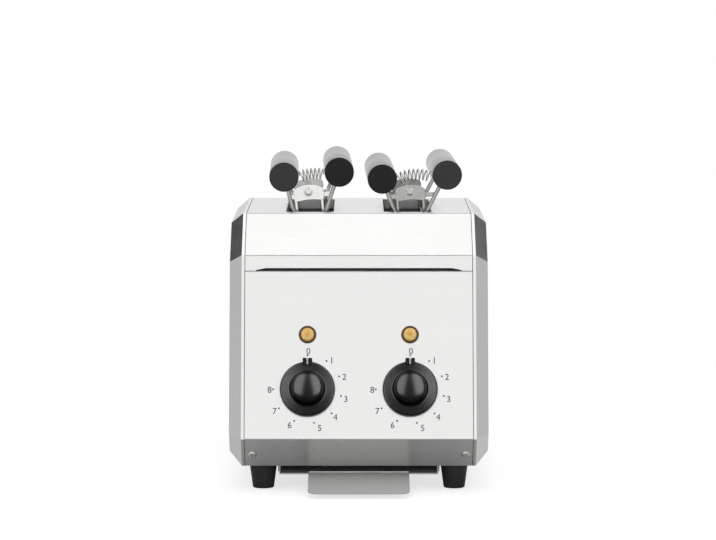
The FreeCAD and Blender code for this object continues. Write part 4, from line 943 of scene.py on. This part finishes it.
class TOASTER_OT_screws(bpy.types.Operator):
    """Make the four pan-head screws in the lower bands"""
    bl_idname = "toaster.screws"
    bl_label = "Screws"

    def execute(self, context):
        sizes = context.scene.toaster_sizes
        low, high = node_box("left_side_panel")
        # The bands slope at 45 degrees.
        drop = sizes.screw_down * math.sqrt(0.5)
        screws = []
        for face, fold in ((-1, low[1]), (1, high[1])):
            outward = unit((0, face, -1))
            for side in (-1, 1):
                place = (side * sizes.screw_spacing / 2, fold - face * drop, sizes.fold_height - drop)
                screws.append(screw_head(place, outward, sizes.screw_head / 2, 0.4 + 0.9 * side + 0.5 * face))
                screws.append(domed_rod(np.array(place) - outward * 9 * MM, place, 2 * MM))
        piece = make_piece("pan_head_screws", *together(*screws), MATERIALS["zinc_plate"], "housing",
                           "zinc_screws", sharp=math.radians(70))
        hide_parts("panel_screws")
        return {"FINISHED"}


def screw_head(place, outward, radius, twist, rings=30, steps=96):
    """A pan head with a cross recess.

    height = 0.56 r * (1 - q^4)^0.5, less 1.1 mm inside the two arms of the cross, whose walls are
    soft: 1 / (1 + exp) of the distance past an arm's half width or its end.
    """
    share = np.sin(np.linspace(math.pi / 2, 0.01, rings))[:, None]
    angle = np.linspace(0, 2 * np.pi, steps, endpoint=False)[None]
    x = np.abs(radius * share * np.cos(angle + twist))
    y = np.abs(radius * share * np.sin(angle + twist))
    past_side = (np.minimum(x, y) - 0.55 * MM) / (0.07 * MM)
    past_end = (np.maximum(x, y) - 2.3 * MM) / (0.12 * MM)
    inside = 1 / (1 + np.exp(past_side)) / (1 + np.exp(past_end))
    height = 0.56 * radius * np.sqrt(np.clip(1 - share ** 4, 0, 1)) - 1.1 * MM * inside
    height[0] = 0.0
    right = unit(np.cross((0, 0, 1), outward))
    return raised(share, angle, height, radius, place, outward, np.cross(outward, right))


class TOASTER_OT_grips(bpy.types.Operator):
    """Turn the four black grips"""
    bl_idname = "toaster.grips"
    bl_label = "Grips"

    def execute(self, context):
        half = context.scene.toaster_sizes.grip_length / 2
        for side in SIDES:
            _, axes = tong_axes(side)
            for hand in SIDES:
                node = f"{side}_tong_{hand}_handle"
                low, high = node_box(node)
                radius = (high[2] - low[2]) / 2
                centre = 0.2 * MM
                outline = fillet([(centre, -half), (radius, -half), (radius, half), (centre, half)],
                                 [1.0 * MM, 1.0 * MM])
                rod = turned(outline, (low + high) / 2, axes[1], (0, 0, 1), 80)
                # The inner grips take the copy of the phenolic with the painted shade.
                finish = "grip_black" if hand == side else "grip_deep"
                piece = make_piece(f"{side}_{hand}_grip", *capped(*rod, len(outline), 80),
                                   MATERIALS[finish], f"{side}_tong_{hand}_arm", "handle_plastic")
                piece.visible_glossy = False
                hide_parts(node)
        return {"FINISHED"}


class TOASTER_OT_jaws(bpy.types.Operator):
    """Bend the tongs' wires, and cut their ear plates"""
    bl_idname = "toaster.jaws"
    bl_label = "Jaws"

    def execute(self, context):
        sizes = context.scene.toaster_sizes
        # The right tong's ear plates and rivets take greyer finishes than the left's, a painted shade for the
        # darker reflection they show; both tongs are the same steel.
        finishes = {"left": ("bright_wire", "rivet"), "right": ("dull_wire", "spring_wire")}
        for side in SIDES:
            pin, axes = tong_axes(side)
            ear_finish, rivet_finish = finishes[side]
            for half, sign in zip(SIDES, (-1, 1)):
                grip = tong_shape(side)[half]
                depth = getattr(sizes, half + "_arm_depth")
                for name, shapes, finish in (("jaw", jaw_shapes, "dull_wire"),
                                             ("ears", ear_shapes, ear_finish)):
                    points, faces = together(*shapes(sizes, sign, grip, depth))
                    piece = make_piece(f"{side}_{half}_{name}", pin + points @ axes, faces,
                                       MATERIALS[finish], f"{side}_tong_{half}_arm", "bright_wire",
                                       sharp=math.radians(40))
                    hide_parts(f"{side}_tong_{half}_frame")
            points, faces = together(*[rivet(sizes, way) for way in (-1, 1)])
            piece = make_piece(side + "_rivets", pin + points @ axes, faces, MATERIALS[rivet_finish],
                               side + "_tong", "bright_wire")
            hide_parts(side + "_tong_pins")
        return {"FINISHED"}


def jaw_line(sizes, sign, drop):
    """Across and up of a jaw at a drop below the pin, on the straight line from the knee to the tip."""
    share = (drop - sizes.knee_drop) / (sizes.jaw_drop - sizes.knee_drop)
    return np.array([sign * (sizes.knee_half + (sizes.tip_half - sizes.knee_half) * share), -drop])


def jaw_shapes(sizes, sign, grip, depth):
    """One half's bent wire, two long rails and five flat strips, in the tong's own directions."""
    knee = jaw_line(sizes, sign, sizes.knee_drop)
    tip = jaw_line(sizes, sign, sizes.jaw_drop)
    hand = grip[[0, 2]]
    start = hand - unit(hand - knee) * 3 * MM
    chain = [(start[0], -depth, start[1]), (knee[0], -depth, knee[1]), (tip[0], -depth, tip[1]),
             (tip[0], depth, tip[1]), (knee[0], depth, knee[1]), (start[0], depth, start[1])]
    bends = [sizes.knee_radius, sizes.jaw_corner, sizes.jaw_corner, sizes.knee_radius]
    wire = sizes.arm_wire / 2
    shapes = [tube(fillet(chain, bends, 9), wire, 20)]
    end = depth - wire - 0.05 * MM
    for drop in (sizes.jaw_top_drop, (sizes.jaw_top_drop + sizes.jaw_drop) / 2):
        x, z = jaw_line(sizes, sign, drop)
        shapes.append(domed_rod((x, -end, z), (x, end, z), sizes.jaw_rail / 2))
    # The strips lie against the rails' inner side, evenly spaced between the two arms.
    top = jaw_line(sizes, sign, sizes.jaw_top_drop - sizes.jaw_rail)
    down = unit(tip - top)
    inward = np.array([-sign * abs(down[1]), -abs(down[0])])
    x, z = (top + tip) / 2 + inward * (wire + sizes.strip_thick / 2 + 0.05 * MM)
    strip = rounded_box(sizes.strip_wide, math.dist(top, tip), 0.4 * MM)
    for y in np.linspace(-depth, depth, JAW_STRIPS + 2)[1:-1]:
        shapes.append(plate(strip, (x, y, z), (0, 1, 0), (down[0], 0, down[1]), sizes.strip_thick, 0.25 * MM))
    return shapes


def ear_shapes(sizes, sign, grip, depth):
    """The arched ear plates inside a half's two arms, each with a tab to its arm and a leg down beside it.

    In an outline, near is the plate's side towards its own arm.
    """
    hand = grip[[0, 2]]
    knee = jaw_line(sizes, sign, sizes.knee_drop)
    near = sign * sizes.ear_reach
    y = depth - sizes.arm_wire / 2 - 0.05 * MM - sizes.ear_thick / 2
    shapes = []
    for place, rise, tab_top in ((-y, sizes.ear_rise, -1.5 * MM), (y, sizes.rear_ear_rise, -8 * MM)):
        shoulder = rise * 0.45
        arch = np.vstack([
            arc((near, shoulder), (0, rise), (-near, shoulder), 24)[:-1],
            arc((-near, shoulder), (-near * 1.1, -2.5 * MM), (-near * 0.95, -8.6 * MM), 12)[:-1],
            arc((-near * 0.95, -8.6 * MM), (0, -7.2 * MM), (near * 0.86, -8.4 * MM), 20),
            [(near, -8.8 * MM)],
        ])
        arm = knee + (hand - knee) * (tab_top - knee[1]) / (hand[1] - knee[1])
        tab = [(near * 0.96, tab_top), (near * 0.96, tab_top - 4 * MM), arm - (0, 4 * MM), arm]
        leg = [(near * 0.83, -8 * MM), (near, -8 * MM), (near * 0.97, -26 * MM), (near * 0.80, -26 * MM)]
        # The tab and the leg are a little thinner than the plate that they lie in.
        for outline, thick, hole in ((arch, 1.0, sizes.rivet_hole / 2), (tab, 0.96, 0), (leg, 0.96, 0)):
            shapes.append(plate(outline, (0, place, 0), (1, 0, 0), (0, 0, 1), sizes.ear_thick * thick,
                                0.3 * MM, hole))
    return shapes


def rivet(sizes, way):
    """A rivet along the pins' direction: flat head inside, washer and domed head outside.

    The dome's height is 1.1 mm * sqrt(1 - q^2), with q the share of the head's radius.
    """
    outer = sizes.left_arm_depth - sizes.arm_wire / 2 + 0.05 * MM
    inner = sizes.right_arm_depth - sizes.arm_wire / 2 - sizes.ear_thick - 0.15 * MM
    head, washer, shank = sizes.rivet_head / 2, sizes.washer / 2, 2.0 * MM
    share = np.linspace(1, 0.02, 9)
    dome = np.stack([head * share, outer + 0.4 * MM + 1.1 * MM * np.sqrt(1 - share ** 2)], axis=1)
    outline = np.vstack([
        [(0.05 * MM, inner - 1.1 * MM), (head * 0.9, inner - 1.1 * MM), (head, inner - 0.8 * MM),
         (head, inner), (shank, inner), (shank, outer), (washer - 0.2 * MM, outer),
         (washer, outer + 0.15 * MM), (washer - 0.2 * MM, outer + 0.3 * MM), (head, outer + 0.35 * MM)],
        dome,
    ])
    return capped(*turned(outline, (0, 0, 0), (0, way, 0), (0, 0, 1), 48), len(outline), 48)


class TOASTER_OT_springs(bpy.types.Operator):
    """Wind the bowed springs between the grips"""
    bl_idname = "toaster.springs"
    bl_label = "Springs"

    def execute(self, context):
        sizes = context.scene.toaster_sizes
        for side in SIDES:
            pin, axes = tong_axes(side)
            path, span = spring_path(sizes, side)
            points, faces = tube(path, sizes.spring_wire / 2, 12)
            piece = make_piece(side + "_wound_spring", pin + points @ axes, faces, MATERIALS["spring_wire"],
                               side + "_tong", "spring_steel")
            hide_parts(side + "_tong_spring")
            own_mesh(piece)
        return {"FINISHED"}


def spring_path(sizes, side):
    """A wire wound round a bowed middle line between the grips, and the line's width across.

    The middle line is bow * (sin lean, cos lean), and the wire goes round it at a steady rate:
    radius * sin phase outwards and radius * cos phase to the rear.
    """
    shapes = tong_shape(side)
    low, high = node_box(side + "_tong_left_handle")
    clear = (high[2] - low[2]) / 2 + sizes.spring_wire / 2 + 0.3 * MM
    left, right = shapes["left"][0] + clear, shapes["right"][0] - clear
    half_angle = math.asin((right - left) / 2 / sizes.spring_bow)
    coils = getattr(sizes, side + "_coils")
    radius = (sizes.spring_outer - sizes.spring_wire) / 2
    share = np.linspace(0, 1, int(coils * 28) + 1)
    lean = half_angle * (2 * share - 1)
    phase = 2 * math.pi * coils * share
    out = np.stack([np.sin(lean), np.zeros_like(lean), np.cos(lean)], axis=1)
    ends = shapes["left"][2] - sizes.spring_drop
    base = np.array([(left + right) / 2, -sizes.spring_place,
                     ends - sizes.spring_bow * math.cos(half_angle)])
    path = base + out * (sizes.spring_bow + radius * np.sin(phase))[:, None]
    path[:, 1] += radius * np.cos(phase)
    return path, right - left


# Cards that only the metal and the gloss see: name, middle, target, width and height, grey.
CARDS = (
    # The panel mirrors the upper front, and the bend above it a sweep from there to overhead.
    ("front_pale_card", (0.0, -4.0, 1.7), (0, 0, 0.15), (8.0, 3.2), 1.24),
    ("upper_front_dark_card", (0.0, -1.3, 2.4), (0, 0, 0.2), (1.5, 1.5), 0.02),
    # The flat top mirrors what stands low behind, and the bend before it the upper back.
    ("back_pale_card", (0.0, 3.0, 0.5), (0, 0, 0.25), (8.0, 1.0), 0.89),
    ("upper_back_dark_card", (0.0, 1.4, 1.75), (0, 0, 0.25), (1.2, 1.2), 0.02),
    # The side panels mirror the sides, and their shoulders the corners behind.
    ("left_grey_card", (-1.6, -0.2, 0.3), (0, 0, 0.15), (2.0, 1.6), 0.64),
    ("right_grey_card", (1.6, -0.2, 0.3), (0, 0, 0.15), (2.0, 1.6), 0.64),
    ("back_left_dark_card", (-1.3, 1.5, 1.0), (0, 0, 0.2), (1.8, 1.3), 0.03),
    ("back_right_dark_card", (1.3, 1.5, 1.0), (0, 0, 0.2), (1.6, 1.1), 0.09),
    # Beside the lower band they mirror the floor next to the body.
    ("left_floor_card", (-0.369, -0.1, 0.004), (-0.369, -0.09, 1.0), (0.5, 1.0), 0.62),
    ("right_floor_card", (0.369, -0.1, 0.004), (0.369, -0.09, 1.0), (0.5, 1.0), 0.68),
)


class TOASTER_OT_stage(bpy.types.Operator):
    """Set up the floor, the soft light and the camera"""
    bl_idname = "toaster.stage"
    bl_label = "Studio"

    def execute(self, context):
        lay_floor()
        light_world()
        soft_box("overhead_soft_box", (0.0, -0.5, 2.2), (0, 0, 0.1), (2.4, 2.0), 9)
        soft_box("front_soft_box", (0.0, -3.6, 1.7), (0, 0, 0.12), (3.0, 1.6), 9)
        for name, across, power in (("left_knob_light", -0.83, 125), ("right_knob_light", 0.83, 145)):
            lamp = soft_box(name, (across, -1.56, 0.95), (0, -0.1, 0.1), (1.0, 2.2), power)
            lamp.visible_glossy = True
            shine_on(lamp, [side + "_knob_moulding" for side in SIDES])
        for values in CARDS:
            card(*values)
        place_camera(context.scene.toaster_stage)
        context.scene.view_settings.view_transform = "Standard"
        return {"FINISHED"}


def flat_sheet(name, centre, right, up, size):
    """A plain rectangle of the stage, whose face is the cross of right and up."""
    centre = np.asarray(centre, float)
    half_right = np.asarray(right) * size[0] / 2
    half_up = np.asarray(up) * size[1] / 2
    points = [centre - half_right - half_up, centre + half_right - half_up,
              centre + half_right + half_up, centre - half_right + half_up]
    mesh = bpy.data.meshes.new(name)
    mesh.from_pydata([tuple(p) for p in points], [], [(0, 1, 2, 3)])
    sheet = bpy.data.objects.new(name, mesh)
    bpy.context.scene.collection.objects.link(sheet)
    return sheet


def lay_floor():
    """Pale floor that holds the shadow, and fades to plain white away from the toaster.

    To the camera and through glass it adds a glow that takes it up to nearly white. It lies a hair
    under the feet.
    """
    floor = flat_sheet("floor", (0, 0, -0.2 * MM), (1, 0, 0), (0, 1, 0), (14, 14))
    material = bpy.data.materials.new("pale_studio_floor")
    material.use_nodes = True
    tree = material.node_tree
    tree.nodes.clear()
    matt = add_node(tree, "ShaderNodeBsdfDiffuse", {"Color": (0.6, 0.6, 0.6, 1)})
    glow = add_node(tree, "ShaderNodeEmission", {"Color": (1, 1, 1, 1)}, Strength=seen_ray(tree, 0.70, 0.07))
    near = add_node(tree, "ShaderNodeAddShader")
    tree.links.new(matt.outputs["BSDF"], near.inputs[0])
    tree.links.new(glow.outputs["Emission"], near.inputs[1])
    white = add_node(tree, "ShaderNodeEmission", {"Color": (1, 1, 1, 1)}, Strength=seen_ray(tree, 1.0, 1.2))
    place = add_node(tree, "ShaderNodeTexCoord")
    away = add_node(tree, "ShaderNodeVectorMath", {"operation": "LENGTH"})
    tree.links.new(place.outputs["Object"], away.inputs[0])
    fade = add_node(tree, "ShaderNodeMapRange",
                    {"From Min": 0.25, "From Max": 0.95, "interpolation_type": "SMOOTHSTEP"},
                    Value=away.outputs["Value"])
    both = add_node(tree, "ShaderNodeMixShader", Fac=fade.outputs["Result"])
    tree.links.new(near.outputs["Shader"], both.inputs[1])
    tree.links.new(white.outputs["Emission"], both.inputs[2])
    add_node(tree, "ShaderNodeOutputMaterial", Surface=both.outputs["Shader"])
    floor.data.materials.append(material)


def seen_ray(tree, direct, glossy):
    """One strength for rays from the camera or through glass, one for gloss, and 0 for other light."""
    path = add_node(tree, "ShaderNodeLightPath")
    first = add_node(tree, "ShaderNodeMath", {"operation": "MAXIMUM"})
    tree.links.new(path.outputs["Is Camera Ray"], first.inputs[0])
    tree.links.new(path.outputs["Is Transmission Ray"], first.inputs[1])
    plain = add_node(tree, "ShaderNodeMath", {"operation": "MULTIPLY"})
    tree.links.new(first.outputs["Value"], plain.inputs[0])
    plain.inputs[1].default_value = direct
    gloss = add_node(tree, "ShaderNodeMath", {"operation": "MULTIPLY"})
    tree.links.new(path.outputs["Is Glossy Ray"], gloss.inputs[0])
    gloss.inputs[1].default_value = glossy
    both = add_node(tree, "ShaderNodeMath", {"operation": "MAXIMUM"})
    tree.links.new(plain.outputs["Value"], both.inputs[0])
    tree.links.new(gloss.outputs["Value"], both.inputs[1])
    return both.outputs["Value"]


def light_world():
    """White to the camera, brighter to gloss; a dimmer even light on everything else."""
    world = bpy.data.worlds.new("studio")
    bpy.context.scene.world = world
    world.use_nodes = True
    tree = world.node_tree
    tree.nodes.clear()
    strength = add_node(tree, "ShaderNodeMath", {"operation": "MAXIMUM"})
    tree.links.new(seen_ray(tree, 1.0, 1.5), strength.inputs[0])
    strength.inputs[1].default_value = 0.42
    back = add_node(tree, "ShaderNodeBackground", {"Color": (1, 1, 1, 1)}, Strength=strength.outputs["Value"])
    add_node(tree, "ShaderNodeOutputWorld", Surface=back.outputs["Background"])


def facing(place, target):
    """The right and up directions of a sheet at a place that faces a target."""
    way = unit(np.asarray(target, float) - np.asarray(place, float))
    right = unit(np.cross(way, (0, 0, 1)))
    return right, np.cross(right, way)


def soft_box(name, place, target, size, power):
    """A rectangular area light turned to its target."""
    light = bpy.data.lights.new(name, "AREA")
    light.shape = "RECTANGLE"
    light.size, light.size_y = size
    light.energy = power
    lamp = bpy.data.objects.new(name, light)
    lamp.location = place
    lamp.visible_glossy = False
    lamp.rotation_euler = (Vector(target) - Vector(place)).to_track_quat("-Z", "Y").to_euler()
    bpy.context.scene.collection.objects.link(lamp)
    return lamp


def shine_on(lamp, names):
    """Lets a light reach only the named pieces."""
    group = bpy.data.collections.new(lamp.name + "_reach")
    for name in names:
        group.objects.link(bpy.data.objects[name])
    lamp.light_linking.receiver_collection = group


def card(name, place, target, size, grey):
    """A card that only gloss sees, to give the metal something to reflect."""
    right, up = facing(place, target)
    sheet = flat_sheet(name, place, right, up, size)
    material = bpy.data.materials.new(name)
    material.use_nodes = True
    tree = material.node_tree
    tree.nodes.clear()
    glow = add_node(tree, "ShaderNodeEmission", {"Color": (grey, grey, grey, 1), "Strength": 1.0})
    add_node(tree, "ShaderNodeOutputMaterial", Surface=glow.outputs["Emission"])
    sheet.data.materials.append(material)
    sheet.visible_camera = False
    sheet.visible_diffuse = False
    sheet.visible_shadow = False
    sheet.visible_transmission = False


def place_camera(settings):
    """A camera in front of the toaster, turned down from level."""
    camera = bpy.data.cameras.new("camera")
    camera.lens = settings.camera_lens
    camera.sensor_width = 36
    camera.clip_end = 100
    holder = bpy.data.objects.new("camera", camera)
    holder.location = (settings.camera_side, -settings.camera_distance, settings.camera_height)
    holder.rotation_euler = (math.pi / 2 - settings.camera_pitch, 0, 0)
    bpy.context.scene.collection.objects.link(holder)
    bpy.context.scene.camera = holder


class TOASTER_PT_parts(bpy.types.Panel):
    """Sidebar panel with the sizes and one button per group of pieces"""
    bl_idname = "TOASTER_PT_parts"
    bl_label = "Toaster"
    bl_space_type = "VIEW_3D"
    bl_region_type = "UI"
    bl_category = "Toaster"

    def draw(self, context):
        layout = self.layout
        scene = context.scene
        for group in (scene.toaster_sizes, scene.toaster_colours, scene.toaster_stage):
            box = layout.box()
            for name in group.bl_rna.properties.keys():
                if name not in ("rna_type", "name"):
                    box.prop(group, name)
        for step in STEPS:
            layout.operator(step.bl_idname, text=step.bl_label)


STEPS = (TOASTER_OT_materials, TOASTER_OT_seams, TOASTER_OT_dials, TOASTER_OT_knobs, TOASTER_OT_lamps,
         TOASTER_OT_hem, TOASTER_OT_feet, TOASTER_OT_screws, TOASTER_OT_grips, TOASTER_OT_jaws,
         TOASTER_OT_springs, TOASTER_OT_stage)
CLASSES = (ToasterSizes, ToasterColours, ToasterStage, *STEPS, TOASTER_PT_parts)


def register():
    for item in CLASSES:
        bpy.utils.register_class(item)
    bpy.types.Scene.toaster_sizes = bpy.props.PointerProperty(type=ToasterSizes)
    bpy.types.Scene.toaster_colours = bpy.props.PointerProperty(type=ToasterColours)
    bpy.types.Scene.toaster_stage = bpy.props.PointerProperty(type=ToasterStage)


def unregister():
    del bpy.types.Scene.toaster_stage
    del bpy.types.Scene.toaster_colours
    del bpy.types.Scene.toaster_sizes
    for item in reversed(CLASSES):
        bpy.utils.unregister_class(item)


def main():
    """Makes every group of pieces in order."""
    register()
    for step in STEPS:
        group, name = step.bl_idname.split(".")
        getattr(getattr(bpy.ops, group), name)()


if __name__ == "__main__":
    main()
